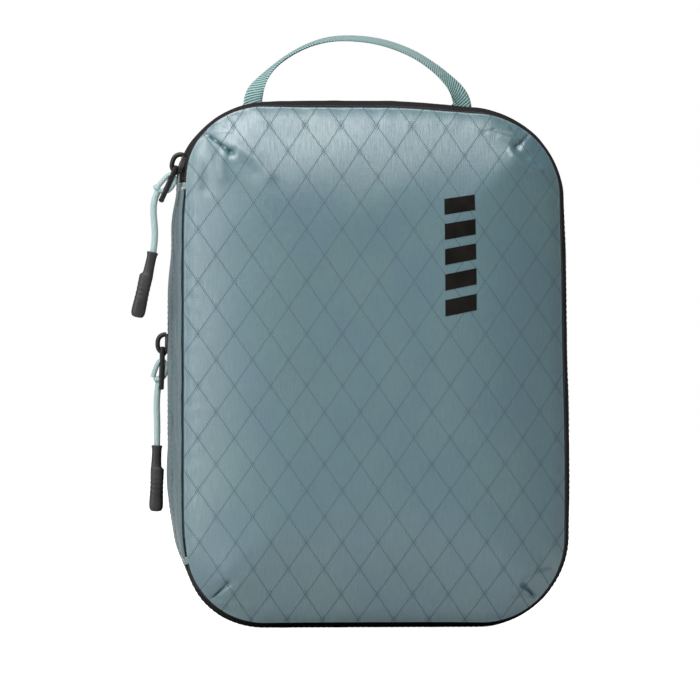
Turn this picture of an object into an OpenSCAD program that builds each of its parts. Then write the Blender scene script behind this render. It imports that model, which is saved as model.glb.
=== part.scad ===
// Packing cube: a soft rectangular bag with a domed front panel that opens like a book,
// a second zip that lets the back move out, a webbing handle and two cord zip pulls.
// X is across the front, Y runs from the front to the back, Z is up.
// The origin is the middle of the bottom face that it stands on.

/* [Body] */
// Width of the seam between the front panel and its zip
seam_w = 185; // [170:5:220]
// Height of that seam
seam_h = 251; // [230:1:300]
// Corner radius of that seam
corner_r = 40; // [38:1:44]
// How far the gusset stands out past that seam, all round
bulge = 4.5; // [4.5:0.1:5.5]
// Height of the front panel's dome
dome_h = 16; // [15:0.5:18]
// Thickness of fabric
fabric_t = 1; // [0.9:0.05:1.1]
// Thickness of a bound seam inside
binding_t = 1.2; // [1:0.1:1.4]

/* [Zips] */
// Depth of the front zip's middle behind the front seam
main_zip_d = 8; // [8:0.5:9]
// Depth of the fabric gusset's front edge
gusset_d = 16; // [16:0.5:17]
// Width of the fabric gusset
gusset_w = 22; // [20:1:30]
// Width of the compression zip's band
compression_w = 14; // [14:1:16]
// Gap between a zip's two coils, for the slider's wedge
coil_gap = 1.2; // [1.1:0.1:1.3]
// Height of a coil on its tape
coil_h = 1; // [0.9:0.05:1.1]
// Where the front zip's slider is parked, as an angle round the upper left corner
parked_a = 163; // [162:0.5:164]
// Height at which the compression zip's slider is parked
compression_slider_z = 140; // [120:1:150]

/* [Handle] */
// Distance between the handle's two ends
handle_span = 102; // [90:2:110]
// Height of the handle's arch
handle_rise = 29; // [26:1:34]
// Width of the handle's webbing
webbing_w = 10; // [8:1:12]
// How far the handle's middle is off centre
handle_x = -6.5; // [-10:0.5:0]

/* [Zip pulls] */
// Length of a slider's tab
tab_len = 19; // [19:0.5:21]
// Diameter of the pull cord
cord_d = 3.2; // [2.8:0.1:3.2]
// Length of a moulded grip
grip_len = 33; // [30:1:36]

/* [Hidden] */
$fn = 96;

// Colours
teal = [0.42, 0.53, 0.56];
pale_teal = [0.55, 0.66, 0.66];
strap_teal = [0.36, 0.52, 0.51];
black = [0.12, 0.12, 0.12];
pale = [0.75, 0.76, 0.74];

// The four corner centres, and the depth stations behind the front seam
corner_x = seam_w / 2 - corner_r;
corner_z = seam_h / 2 - corner_r;
mid_z = seam_h / 2 + bulge;
gusset_end_d = gusset_d + gusset_w;
compression_zip_d = gusset_end_d + compression_w / 2;
rear_band_d = gusset_end_d + compression_w;
back_d = rear_band_d + 4;
front_seam_y = -(gusset_d + rear_band_d) / 2;

// Offsets from the front seam's outline
main_tape_o = 1.6;
compression_tape_o = 3.3;
dome_flat_o = -24;
fold_o = -3;
binding_w = 3.2;

// Gaps between pieces that move against each other
body_gap = 0.5;
end_gap_a = 1;

// Where the front zip's fixed ends stop, as angles round the two left corners
upper_end_a = 154;
lower_end_a = -172;
upper_stop_a = 171;
upper_tab_a = 175;

// The compression zip's fixed end, either side of its parked slider
compression_end_z = [compression_slider_z - 12, compression_slider_z + 12];
end_tab_half_w = 4.4;

// Slider
slider_len = 10;
slider_half_w = 4.6;
plate_half_w = 4;
wedge_half_w = 0.25;
plate_in = [-2.1, -1.35];
plate_out = [1.4, 2.3];
flange_o = 0.35;
flange_w = 0.7;
bridge_r = [2.9, 4.5];
bridge_half_straight = 1;
bridge_w = 2.4;
bar_h = 1.3;
bar_drop = 2;

// Tab: a bar in the slider's bridge, two windows for the cord and a bar between them
tab_t = 1.4;
tab_w = 6.4;
bar_r = 0.8;
bridge_window = [0.8, 4.8];
bridge_window_w = 3.2;
cord_windows = [[7, 11.3], [12.9, 17.2]];
cord_window_w = 3.8;
knot_z = 12.1;
knot_r = [2.7, 1.2];
main_tab_lean = 7;
compression_tab_lean = 8;

// Grip
neck_r = 2.6;
neck_len = 11;
grip_r = 3.4;
grip_step = 0.6;

// Routes of the two cords, from the knot down into the grip, as X and Z
main_route = [[-104.5, 216.5], [-106.2, 213], [-107.2, 209.5], [-107.5, 205], [-107.1, 200],
              [-106.7, 195], [-106.9, 190], [-107.6, 184.5], [-108.9, 178.5]];
main_grip_top = [-107.8, 185];
main_grip_lean = 12.5;
compression_route = [[-103.4, 127], [-104.6, 123.5], [-105.1, 119], [-105, 113], [-104.6, 107],
                     [-104.4, 101], [-104.4, 95], [-104.5, 89.5], [-104.7, 83.5]];
compression_grip_top = [-104.5, 91];
compression_grip_lean = 2;
cord_sides = 8;

// A closed outline in (offset, depth) becomes a wall that follows the rounded rectangle.
// Angles go round the outline: 0 right, 90 top, 180 left, -90 bottom.
module corner_wall(outline, quarter, from, to) {
    side = (quarter == 0 || quarter == -1) ? 1 : -1;
    level = quarter >= 0 ? 1 : -1;
    translate([side * corner_x, front_seam_y, mid_z + level * corner_z])
        rotate([90, 0, 0])
            rotate([0, 0, from])
                rotate_extrude(angle = to - from)
                    polygon([for (p = outline) [corner_r + p[0], -p[1]]]);
}

module straight_wall(outline, a, length) {
    translate([cos(a) * corner_x, front_seam_y, mid_z + sin(a) * corner_z])
        rotate([0, -a, 0])
            linear_extrude(length, center = true)
                polygon([for (p = outline) [corner_r + p[0], p[1]]]);
}

module wall(outline, from = -180, to = 180) {
    for (quarter = [-2:1]) {
        low = max(from, 90 * quarter);
        high = min(to, 90 * quarter + 90);
        if (high > low) corner_wall(outline, quarter, low, high);
    }
    for (a = [-90, 0, 90])
        if (from < a && a < to)
            straight_wall(outline, a, a == 0 ? 2 * corner_z : 2 * corner_x);
    if (from == -180 && to == 180) straight_wall(outline, 180, 2 * corner_z);
}

module left_wall(outline, low, high) {
    translate([-corner_x, front_seam_y, (low + high) / 2])
        rotate([0, 180, 0])
            linear_extrude(high - low, center = true)
                polygon([for (p = outline) [corner_r + p[0], p[1]]]);
}

function rectangle(o, d) = [[o[0], d[0]], [o[1], d[0]], [o[1], d[1]], [o[0], d[1]]];

// An outer line in (offset, depth), given a thickness towards the inside
function skin(line, t = fabric_t) =
    concat(line, [for (i = [len(line) - 1:-1:0]) [line[i][0] - t, line[i][1]]]);

// A flat panel with the outline at one offset, between two depths
module panel(o, d) {
    r = corner_r + o;
    translate([0, front_seam_y + d[1], mid_z])
        rotate([90, 0, 0])
            linear_extrude(d[1] - d[0]) {
                square([2 * corner_x, 2 * (corner_z + r)], center = true);
                square([2 * (corner_x + r), 2 * corner_z], center = true);
                for (x = [-corner_x, corner_x], z = [-corner_z, corner_z])
                    translate([x, z]) circle(r);
            }
}

// The two halves of each zip, beside the gap that the slider's wedge runs in
function front_tape(o, d, seam_o, seam_d) =
    skin([[seam_o, seam_d], [o, seam_d + 2.5], [o, d - coil_gap / 2]]);
function rear_tape(o, d, seam_o, seam_d) =
    skin([[o, d + coil_gap / 2], [o, seam_d - 2.5], [seam_o, seam_d]]);
function front_coil(o, d) = rectangle([o, o + coil_h], [d - coil_gap / 2 - 1, d - coil_gap / 2]);
function rear_coil(o, d) = rectangle([o, o + coil_h], [d + coil_gap / 2, d + coil_gap / 2 + 1]);
function stop_outline(o, d) = rectangle([o, o + coil_h + 0.3], [d - 2, d + 2]);
function end_tab_outline(o, d) = rectangle([o, o + 0.8], [d - end_tab_half_w, d + end_tab_half_w]);

main_front_tape = front_tape(main_tape_o, main_zip_d, 0, 0);
main_rear_tape = rear_tape(main_tape_o, main_zip_d, bulge, gusset_d);
compression_front_tape = front_tape(compression_tape_o, compression_zip_d, bulge, gusset_end_d);
compression_rear_tape = rear_tape(compression_tape_o, compression_zip_d, bulge, rear_band_d);

// The part of a front tape that stays with the body keeps clear of the front panel
function clear_of_panel(outline) = [for (p = outline) [p[0], max(p[1], body_gap)]];

// --- Body ---

module mid_gusset() {
    color(teal) wall(skin([[bulge, gusset_d], [bulge, gusset_end_d]]));
}

spine_line = [[0, body_gap], [1, 3], [3.2, 8], [bulge, gusset_d]];

module spine_panel() {
    color(teal) left_wall(skin(spine_line), mid_z - corner_z, mid_z + corner_z);
}

module spine_fold_strip() {
    strip = [[0.4, 1.2], [1, 1.2], [1.7, 3], [2.3, 4.2], [1.65, 4.2], [1.1, 3]];
    color(pale_teal) left_wall(strip, mid_z - corner_z, mid_z + corner_z);
}

module main_zip_rear_tape() {
    color(black) wall(main_rear_tape, -180, 180 - 0.01);
}

module main_zip_rear_coil() {
    color(black) wall(rear_coil(main_tape_o, main_zip_d), lower_end_a, upper_stop_a - end_gap_a);
}

module main_zip_end_tapes() {
    outline = clear_of_panel(main_front_tape);
    color(black) {
        corner_wall(outline, 1, upper_end_a, 180);
        corner_wall(outline, -2, -180, lower_end_a);
    }
}

module main_zip_end_coil() {
    color(black)
        corner_wall(front_coil(main_tape_o, main_zip_d), 1, upper_end_a, upper_stop_a - end_gap_a);
}

module main_zip_stops() {
    outline = stop_outline(main_tape_o, main_zip_d);
    color(black) {
        corner_wall(outline, 1, upper_stop_a, upper_stop_a + 2);
        corner_wall(outline, -2, lower_end_a - 2 - end_gap_a, lower_end_a - end_gap_a);
    }
}

module upper_zip_end_tab() {
    color(pale_teal) corner_wall(end_tab_outline(main_tape_o, main_zip_d), 1, upper_tab_a, 180);
}

module lower_zip_end_tab() {
    color(pale_teal) corner_wall(end_tab_outline(main_tape_o, main_zip_d), -2, -180, -upper_tab_a - 0.2);
}

module bound_seam(d) {
    inner = bulge - fabric_t;
    color(black) wall(rectangle([inner - binding_w, inner], [d, d + binding_t]));
}

module gusset_front_binding() {
    bound_seam(gusset_d + 0.3);
}

module gusset_rear_binding() {
    bound_seam(gusset_end_d - 0.3 - binding_t);
}

module compression_zip_front_tape() {
    color(black) wall(compression_front_tape);
}

module compression_zip_front_coil() {
    outline = front_coil(compression_tape_o, compression_zip_d);
    stop_z = compression_slider_z - slider_len / 2 - 3;
    color(black) {
        wall(outline, -180, 179.99);
        left_wall(outline, compression_slider_z - slider_len / 2 - 0.7, mid_z + corner_z);
        left_wall(outline, mid_z - corner_z, stop_z - 6);
    }
}

module compression_zip_end_tape() {
    color(black) left_wall(compression_rear_tape, compression_end_z[0], compression_end_z[1]);
}

module compression_zip_end_coil() {
    color(black)
        left_wall(rear_coil(compression_tape_o, compression_zip_d),
                  compression_slider_z - slider_len / 2 - 0.7, compression_end_z[1]);
}

module compression_zip_stop() {
    top = compression_slider_z - slider_len / 2 - 1;
    color(black) left_wall(stop_outline(compression_tape_o, compression_zip_d), top - 2, top);
}

module compression_zip_end_tab() {
    top = compression_slider_z - slider_len / 2 - 3.4;
    color(pale) left_wall(end_tab_outline(compression_tape_o, compression_zip_d), top - 3.6, top);
}

anchor_size = [webbing_w, 1.6, 1];
handle_base_z = 2 * mid_z + anchor_size[2] + 0.85;
handle_d = gusset_d + 2;

module handle_anchors() {
    color(strap_teal)
        for (side = [-1, 1])
            translate([handle_x + side * handle_span / 2, front_seam_y + handle_d,
                       2 * mid_z + anchor_size[2] / 2])
                cube(anchor_size, center = true);
}

// The expansion gusset is folded inwards behind the closed compression zip
module expansion_gusset() {
    inner = compression_tape_o - fabric_t - 0.1;
    d = [gusset_end_d + 0.5, compression_zip_d, rear_band_d - 0.5];
    line = [[inner, d[0]], [fold_o, d[1]], [inner, d[2]]];
    color(teal) wall(skin(line, 0.9));
}

// --- Front panel, which opens ---

dome_line = [[0, 0], [-2, -5], [-7, -10.5], [-14, -14], [dome_flat_o, -dome_h]];

module front_panel() {
    inside = [for (i = [len(dome_line) - 1:-1:0])
              [dome_line[i][0] - (i < 3 ? fabric_t : 0), dome_line[i][1] + (i > 0 ? fabric_t : 0)]];
    color(teal) {
        wall(concat([for (p = dome_line) [p[0], min(p[1], -body_gap / 2)]],
                    [for (p = inside) [p[0], min(p[1], -body_gap / 2)]]));
        panel(dome_flat_o + 1, [-dome_h, fabric_t - dome_h]);
    }
}

mark_w = 13;
mark_bar_h = 7;
mark_pitch = 11.5;
mark_bars = 5;
mark_centre = [43, 183];

module printed_mark() {
    color(black)
        translate([mark_centre[0], front_seam_y - dome_h, mark_centre[1]])
            rotate([90, 0, 0])
                linear_extrude(0.3)
                    for (i = [0:mark_bars - 1])
                        translate([0, (i - (mark_bars - 1) / 2) * mark_pitch])
                            polygon([[-mark_w / 2, -mark_bar_h / 2 - 1.5], [mark_w / 2, -mark_bar_h / 2 + 1.5],
                                     [mark_w / 2, mark_bar_h / 2 + 1.5], [-mark_w / 2, mark_bar_h / 2 - 1.5]]);
}

module front_seam_binding() {
    color(black) wall(rectangle([-fabric_t - 0.1 - binding_w, -fabric_t - 0.1], [0, binding_t]));
}

module main_zip_front_tape() {
    color(black) wall(main_front_tape, lower_end_a + end_gap_a, upper_end_a - end_gap_a);
}

module main_zip_front_coil() {
    color(black)
        wall(front_coil(main_tape_o, main_zip_d), lower_end_a + end_gap_a, upper_end_a - end_gap_a);
}

// --- Back, which moves out ---

module back_panel() {
    color(teal) panel(bulge, [back_d - fabric_t, back_d]);
}

module rear_band() {
    color(teal) wall(skin([[bulge, rear_band_d], [bulge, back_d - fabric_t]]));
}

module open_left_wall(outline) {
    wall(outline, -180, 179.99);
    left_wall(outline, mid_z - corner_z, compression_end_z[0] - body_gap);
    left_wall(outline, compression_end_z[1] + body_gap, mid_z + corner_z);
}

module compression_zip_rear_tape() {
    color(black) open_left_wall(compression_rear_tape);
}

module compression_zip_rear_coil() {
    color(black) open_left_wall(rear_coil(compression_tape_o, compression_zip_d));
}

module back_seam_binding() {
    bound_seam(back_d - fabric_t - 0.3 - binding_t);
}

// --- Handle: flat webbing that faces forward at its ends and turns edge-on in the middle ---

function arch_point(t) =
    [-cos(t) * pow(abs(cos(t)), 0.21) * handle_span / 2, pow(sin(t), 1.21) * handle_rise];
function unit(v) = v / norm(v);
function ribbon_turn(t) = 90 * pow(abs(cos(t)), 1.6);

module handle_webbing() {
    steps = 36;
    webbing_t = 1.5;
    ring = [for (c = [[1, 1], [-1, 1], [-1, -1], [1, -1]]) [c[0] * webbing_w / 2, c[1] * webbing_t / 2]];
    points = [for (i = [0:steps])
        let (t = 180 * i / steps,
             here = arch_point(t),
             ahead = unit(arch_point(min(180, t + 1)) - arch_point(max(0, t - 1))),
             along = i == 0 ? [0, 1] : i == steps ? [0, -1] : ahead,
             normal = [-along[1], along[0]],
             turn = ribbon_turn(t))
        for (c = ring)
            let (across = c[0] * sin(turn) + c[1] * cos(turn), deep = c[0] * cos(turn) - c[1] * sin(turn))
            [handle_x + here[0] + normal[0] * across, front_seam_y + handle_d + deep,
             handle_base_z + here[1] + normal[1] * across]];
    sides = [for (i = [0:steps - 1], k = [0:3])
        let (low = 4 * i + k, next = 4 * i + (k + 1) % 4)
        each [[low, next, next + 4], [low, next + 4, low + 4]]];
    color(strap_teal)
        polyhedron(points, concat(sides, [[3, 2, 1, 0]], [[for (k = [0:3]) 4 * steps + k]]));
}

// --- Sliders and pulls, in a slider's own frame: X away from the tape, Z down the zip ---

function slider_outline(o, d) = [for (p = [
    [plate_in[0], -plate_half_w], [plate_in[0], plate_half_w], [plate_in[1], plate_half_w],
    [plate_in[1], wedge_half_w], [plate_out[0], wedge_half_w],
    [plate_out[0], slider_half_w - flange_w], [flange_o, slider_half_w - flange_w],
    [flange_o, slider_half_w], [plate_out[1], slider_half_w], [plate_out[1], -slider_half_w],
    [flange_o, -slider_half_w], [flange_o, flange_w - slider_half_w],
    [plate_out[0], flange_w - slider_half_w], [plate_out[0], -wedge_half_w],
    [plate_in[1], -wedge_half_w], [plate_in[1], -plate_half_w]]) [o + p[0], d + p[1]]];

slider_half_a = slider_len / 2 / corner_r * 180 / PI;

module on_main_zip() {
    translate([-corner_x, front_seam_y + main_zip_d, mid_z + corner_z])
        rotate([0, -parked_a, 0])
            translate([corner_r + main_tape_o + plate_out[1], 0, 0])
                children();
}

module on_compression_zip() {
    translate([-corner_x, front_seam_y + compression_zip_d, compression_slider_z])
        rotate([0, 180, 0])
            translate([corner_r + compression_tape_o + plate_out[1], 0, 0])
                children();
}

module across_y(r, length) {
    rotate([90, 0, 0]) cylinder(r = r, h = length, center = true);
}

module bridge() {
    difference() {
        union() {
            for (side = [-1, 1])
                translate([0, 0, side * bridge_half_straight]) across_y(bridge_r[1], bridge_w);
            translate([0, -bridge_w / 2, -bridge_half_straight])
                cube([bridge_r[1], bridge_w, 2 * bridge_half_straight]);
        }
        for (side = [-1, 1])
            translate([0, 0, side * bridge_half_straight]) across_y(bridge_r[0], 2 * bridge_w);
        translate([-1, -bridge_w, -bridge_half_straight])
            cube([bridge_r[0] + 1, 2 * bridge_w, 2 * bridge_half_straight]);
    }
}

module window(z, w) {
    translate([-tab_t, -w / 2, z[0]]) cube([2 * tab_t, w, z[1] - z[0]]);
}

module tab(lean) {
    translate([bar_h, 0, bar_drop])
        rotate([0, lean, 0])
            difference() {
                union() {
                    across_y(bar_r, tab_w);
                    translate([-tab_t / 2, -tab_w / 2, 0]) cube([tab_t, tab_w, tab_len - 1]);
                    translate([-tab_t / 2, 1 - tab_w / 2, 0]) cube([tab_t, tab_w - 2, tab_len]);
                }
                window(bridge_window, bridge_window_w);
                for (z = cord_windows) window(z, cord_window_w);
            }
}

module knot(lean) {
    translate([bar_h, 0, bar_drop])
        rotate([0, lean, 0])
            translate([0, 0, knot_z])
                rotate([90, 0, 0])
                    rotate_extrude()
                        translate([knot_r[0], 0])
                            circle(knot_r[1]);
}

// A round cord swept along points given as X and Z, at one depth
module cord(route, d) {
    last = len(route) - 1;
    points = [for (i = [0:last])
        let (along = unit(route[min(last, i + 1)] - route[max(0, i - 1)]), normal = [-along[1], along[0]])
        for (k = [0:cord_sides - 1])
            let (a = 360 * k / cord_sides)
            [route[i][0] + normal[0] * cos(a) * cord_d / 2, front_seam_y + d + sin(a) * cord_d / 2,
             route[i][1] + normal[1] * cos(a) * cord_d / 2]];
    sides = [for (i = [0:last - 1], k = [0:cord_sides - 1])
        [cord_sides * i + k, cord_sides * (i + 1) + k,
         cord_sides * (i + 1) + (k + 1) % cord_sides, cord_sides * i + (k + 1) % cord_sides]];
    polyhedron(points, concat(sides, [[for (k = [0:cord_sides - 1]) k]],
                              [[for (k = [cord_sides - 1:-1:0]) cord_sides * last + k]]));
}

module grip(top, lean, d, step) {
    translate([top[0], front_seam_y + d, top[1]])
        rotate([0, 180 + lean, 0]) {
            cylinder(r = neck_r, h = neck_len + 1);
            translate([step, 0, neck_len]) cylinder(r = grip_r, h = grip_len - neck_len - grip_r);
            translate([step, 0, grip_len - grip_r]) sphere(grip_r);
        }
}

module main_slider_body() {
    color(black)
        corner_wall(slider_outline(main_tape_o, main_zip_d), 1,
                    parked_a - slider_half_a, parked_a + slider_half_a);
}

module main_slider_bridge() {
    color(black)
        difference() {
            on_main_zip() bridge();
            translate([-corner_x, front_seam_y + main_zip_d, mid_z + corner_z])
                across_y(corner_r + main_tape_o + plate_out[1], 2 * bridge_w);
        }
}

module main_pull_tab() {
    color(black) on_main_zip() tab(main_tab_lean);
}

module main_pull_knot() {
    color(pale_teal) on_main_zip() knot(main_tab_lean);
}

module main_pull_cord() {
    color(pale_teal) cord(main_route, main_zip_d);
}

module main_pull_grip() {
    color(black) grip(main_grip_top, main_grip_lean, main_zip_d, grip_step);
}

module compression_slider_body() {
    color(black)
        left_wall(slider_outline(compression_tape_o, compression_zip_d),
                  compression_slider_z - slider_len / 2, compression_slider_z + slider_len / 2);
}

module compression_slider_bridge() {
    color(black)
        on_compression_zip()
            difference() {
                bridge();
                translate([-2 * bridge_r[1], -bridge_w, -2 * bridge_r[1]])
                    cube([2 * bridge_r[1], 2 * bridge_w, 4 * bridge_r[1]]);
            }
}

module compression_pull_tab() {
    color(black) on_compression_zip() tab(compression_tab_lean);
}

module compression_pull_knot() {
    color(pale_teal) on_compression_zip() knot(compression_tab_lean);
}

module compression_pull_cord() {
    color(pale_teal) cord(compression_route, compression_zip_d);
}

module compression_pull_grip() {
    color(black) grip(compression_grip_top, compression_grip_lean, compression_zip_d, -grip_step);
}

mid_gusset();
spine_panel();
spine_fold_strip();
main_zip_rear_tape();
main_zip_rear_coil();
main_zip_end_tapes();
main_zip_end_coil();
main_zip_stops();
upper_zip_end_tab();
lower_zip_end_tab();
gusset_front_binding();
gusset_rear_binding();
compression_zip_front_tape();
compression_zip_front_coil();
compression_zip_end_tape();
compression_zip_end_coil();
compression_zip_stop();
compression_zip_end_tab();
handle_anchors();
expansion_gusset();
front_panel();
printed_mark();
front_seam_binding();
main_zip_front_tape();
main_zip_front_coil();
back_panel();
rear_band();
compression_zip_rear_tape();
compression_zip_rear_coil();
back_seam_binding();
handle_webbing();
main_slider_body();
main_slider_bridge();
main_pull_tab();
main_pull_knot();
main_pull_cord();
main_pull_grip();
compression_slider_body();
compression_slider_bridge();
compression_pull_tab();
compression_pull_knot();
compression_pull_cord();
compression_pull_grip();
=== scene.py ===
"""Packing cube: the fabric, zips, webbing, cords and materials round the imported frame."""

import math

import bmesh
import bpy
import numpy as np
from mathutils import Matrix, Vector


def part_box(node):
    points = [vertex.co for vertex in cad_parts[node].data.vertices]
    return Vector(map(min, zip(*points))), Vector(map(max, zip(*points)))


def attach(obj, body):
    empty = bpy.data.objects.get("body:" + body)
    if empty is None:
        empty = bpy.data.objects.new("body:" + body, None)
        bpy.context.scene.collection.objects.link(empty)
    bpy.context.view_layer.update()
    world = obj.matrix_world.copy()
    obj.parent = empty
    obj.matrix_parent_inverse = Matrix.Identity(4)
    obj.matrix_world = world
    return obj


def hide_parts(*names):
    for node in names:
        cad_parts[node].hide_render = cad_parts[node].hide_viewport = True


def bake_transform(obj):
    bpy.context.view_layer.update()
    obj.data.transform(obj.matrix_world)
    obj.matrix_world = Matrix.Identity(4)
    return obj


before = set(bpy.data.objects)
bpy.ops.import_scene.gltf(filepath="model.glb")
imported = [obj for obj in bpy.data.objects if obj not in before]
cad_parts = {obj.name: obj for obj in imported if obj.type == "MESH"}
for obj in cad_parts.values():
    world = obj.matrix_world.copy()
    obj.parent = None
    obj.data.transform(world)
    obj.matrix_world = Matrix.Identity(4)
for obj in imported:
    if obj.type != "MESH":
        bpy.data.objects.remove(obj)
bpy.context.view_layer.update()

# Everything below is worked out in millimetres and made in metres
MM = 0.001


def box_mm(node):
    low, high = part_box(node)
    return np.array(low) / MM, np.array(high) / MM


# --- The bag's driving dimensions, from the frame ---

panel_low, panel_high = box_mm("front_panel")
gusset_low, gusset_high = box_mm("mid_gusset")

half_w = panel_high[0]
half_h = (panel_high[2] - panel_low[2]) / 2
mid_z = (panel_high[2] + panel_low[2]) / 2
seam_y = box_mm("front_seam_binding")[0][1]
bulge = gusset_high[0] - half_w
corner_r = 40.0
corner_x = half_w - corner_r
corner_z = half_h - corner_r

# Depths behind the front seam
gusset_d = gusset_low[1] - seam_y
gusset_end_d = gusset_high[1] - seam_y
rear_band_d = box_mm("rear_band")[0][1] - seam_y
back_d = box_mm("back_panel")[1][1] - seam_y
main_zip_d = gusset_d / 2
compression_zip_d = (gusset_end_d + rear_band_d) / 2

# How far out each zip's tape lies from the front seam's outline
main_tape_o = 1.6
compression_tape_o = 3.3

# Where the zips stop and start, as angles round the two left corners, and as heights
parked_a = 163.0
upper_end_a = 154.0
lower_end_a = -172.0
upper_stop_a = 171.0
upper_tab_a = 175.0
lower_tab_a = -167.4
spine_end_a = -166.0
compression_slider_z = 140.0
compression_end_z = (128.0, 152.0)


# --- Camera, first ---

camera_azimuth = math.radians(-4.0)
camera_distance = 2600.0
picture_width = 343.5
sensor = 36.0
aim = np.array([-11.3, seam_y, 136.9])

camera_data = bpy.data.cameras.new("camera")
camera_data.sensor_width = sensor
camera_data.lens = sensor * camera_distance / picture_width
camera_data.clip_start = 0.05
camera_data.clip_end = 40.0
camera = bpy.data.objects.new("camera", camera_data)
bpy.context.scene.collection.objects.link(camera)
back = np.array([math.sin(camera_azimuth), -math.cos(camera_azimuth), 0.0])
camera.location = Vector((aim + back * camera_distance) * MM)
camera.rotation_mode = "QUATERNION"
camera.rotation_quaternion = Vector(-back).to_track_quat("-Z", "Y")
bpy.context.scene.camera = camera


# --- Shape helpers ---


def ease(t):
    t = np.clip(t, 0, 1)
    return t * t * (3 - 2 * t)


def bump_at(x, centre, width):
    return np.exp(-(((x - centre) / width) ** 2))


def rise(value, start, span):
    """Eases from 0 at the start to 1 a span further on."""
    return ease((value - start) / span)


# How far the soft bag slumps: its corners lean in and down, its sides belly out,
# and its left edge draws in at the shoulder and the foot
left_lean_in, right_lean_in, lean_down = 3.6, 1.7, 4.2
left_belly_out, right_belly_out = 1.8, 1.7
shoulder_in, shoulder_in_at_zip = 1.3, 1.2
foot_in_at_zip, foot_in_behind = 3.3, 2.6


def settle(points):
    """The slump of the soft bag: its left corners draw in behind the zip, its upper right one
    leans in and down, and both sides belly out."""
    p = np.array(points, float)
    x, z = p[:, 0].copy(), p[:, 2].copy()
    depth = p[:, 1] - seam_y
    left = rise(-x, 30, 50)
    at_zip, behind = rise(depth, 3, 10), rise(depth, gusset_d + 1, 9)
    right_lean = rise(x, 5, 72) * rise(z, 165, 80)
    right_belly = rise(x, 20, 60) * bump_at(z, 75, 60)
    left_lean = rise(-x, 25, 50) * rise(z, 226, 22) * (0.25 * at_zip + 0.75 * behind)
    left_belly = left * rise(z, 45, 25) * rise(-z, -190, 30) * rise(depth, 10, 14)
    shoulder = left * bump_at(z, 217, 13) * (shoulder_in + shoulder_in_at_zip * at_zip)
    foot = (1 - at_zip) * bump_at(z, 38, 12) + foot_in_at_zip * at_zip * bump_at(z, 28, 16)
    foot = left * (foot + foot_in_behind * behind * bump_at(z, 16, 16))
    p[:, 0] += left_lean_in * left_lean + shoulder + foot - left_belly_out * left_belly
    p[:, 0] += right_belly_out * right_belly - right_lean_in * right_lean
    p[:, 2] -= lean_down * (left_lean + right_lean)
    return p


# The seam's outline: the middle of the left side, down, and round through the bottom right
arc = corner_r * math.pi / 2
legs = [0, corner_z, arc, 2 * corner_x, arc, 2 * corner_z, arc, 2 * corner_x, arc, corner_z]
starts = np.cumsum(legs)
around = starts[-1]
leg_angle = np.radians([-180, -180, -90, -90, 0, 0, 90, 90, 180, 180])
leg_x = np.array([-1, -1, -1, 1, 1, 1, 1, -1, -1, -1]) * corner_x
leg_z = np.array([0, -1, -1, -1, -1, 1, 1, 1, 1, 0]) * corner_z


def rim(s, o):
    """X, Z and the outward angle at distance s round the seam and offset o outwards."""
    s = np.mod(s, around)
    a = np.interp(s, starts, leg_angle)
    x = np.interp(s, starts, leg_x) + (corner_r + o) * np.cos(a)
    z = np.interp(s, starts, leg_z) + (corner_r + o) * np.sin(a) + mid_z
    return x, z, a


def s_upper_left(a):
    return starts[7] + math.radians(a - 90) * corner_r


def s_lower_left(a):
    return starts[1] + math.radians(a + 180) * corner_r


def s_left(z):
    return (mid_z - z) % around


def outward(s):
    """The direction straight out from the seam, at distance s round it."""
    _, _, a = rim(s, 0)
    return np.stack([np.cos(a), 0 * a, np.sin(a)], axis=1)


def on_bag(s, o, d):
    """Points at distance s round the seam, offset o outwards and depth d behind the seam."""
    x, z, _ = rim(s, o)
    y = np.broadcast_to(np.asarray(d, float) + seam_y, x.shape)
    return settle(np.stack([x, y, z], axis=1))


def smooth_line(points, rounds):
    """Corner cutting: rounds off the corners of an open line and keeps its ends."""
    p = np.array(points, float)
    for _ in range(rounds):
        q = p[:-1] * 0.75 + p[1:] * 0.25
        r = p[:-1] * 0.25 + p[1:] * 0.75
        p = np.concatenate([p[:1], np.stack([q, r], 1).reshape(-1, p.shape[1]), p[-1:]])
    return p


def distances(p):
    """How far along a line each of its points is."""
    return np.concatenate([[0], np.cumsum(np.linalg.norm(np.diff(p, axis=0), axis=1))])


def resample(points, step):
    """A line's points again, at an even step along it."""
    p = np.array(points, float)
    along = distances(p)
    count = max(2, int(round(along[-1] / step)) + 1)
    t = np.linspace(0, along[-1], count)
    return np.stack([np.interp(t, along, p[:, k]) for k in range(p.shape[1])], axis=1)


def tangents(p):
    along = np.gradient(p, axis=0)
    return along / np.linalg.norm(along, axis=1)[:, None]


def left_of(along):
    """Flat directions turned a quarter to the left."""
    return np.stack([-along[:, 1], along[:, 0]], axis=1)


def skin(line, t):
    """An outer line in (offset, depth) and the same line moved inwards by the thickness."""
    p = np.array(line, float)
    along = tangents(p)
    inwards = left_of(along)
    inwards *= np.where(inwards[:, :1] > 0, -1, 1) if abs(along[:, 1]).min() > 0.2 else 1
    return np.concatenate([p, (p + inwards * t)[::-1]])


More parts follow.
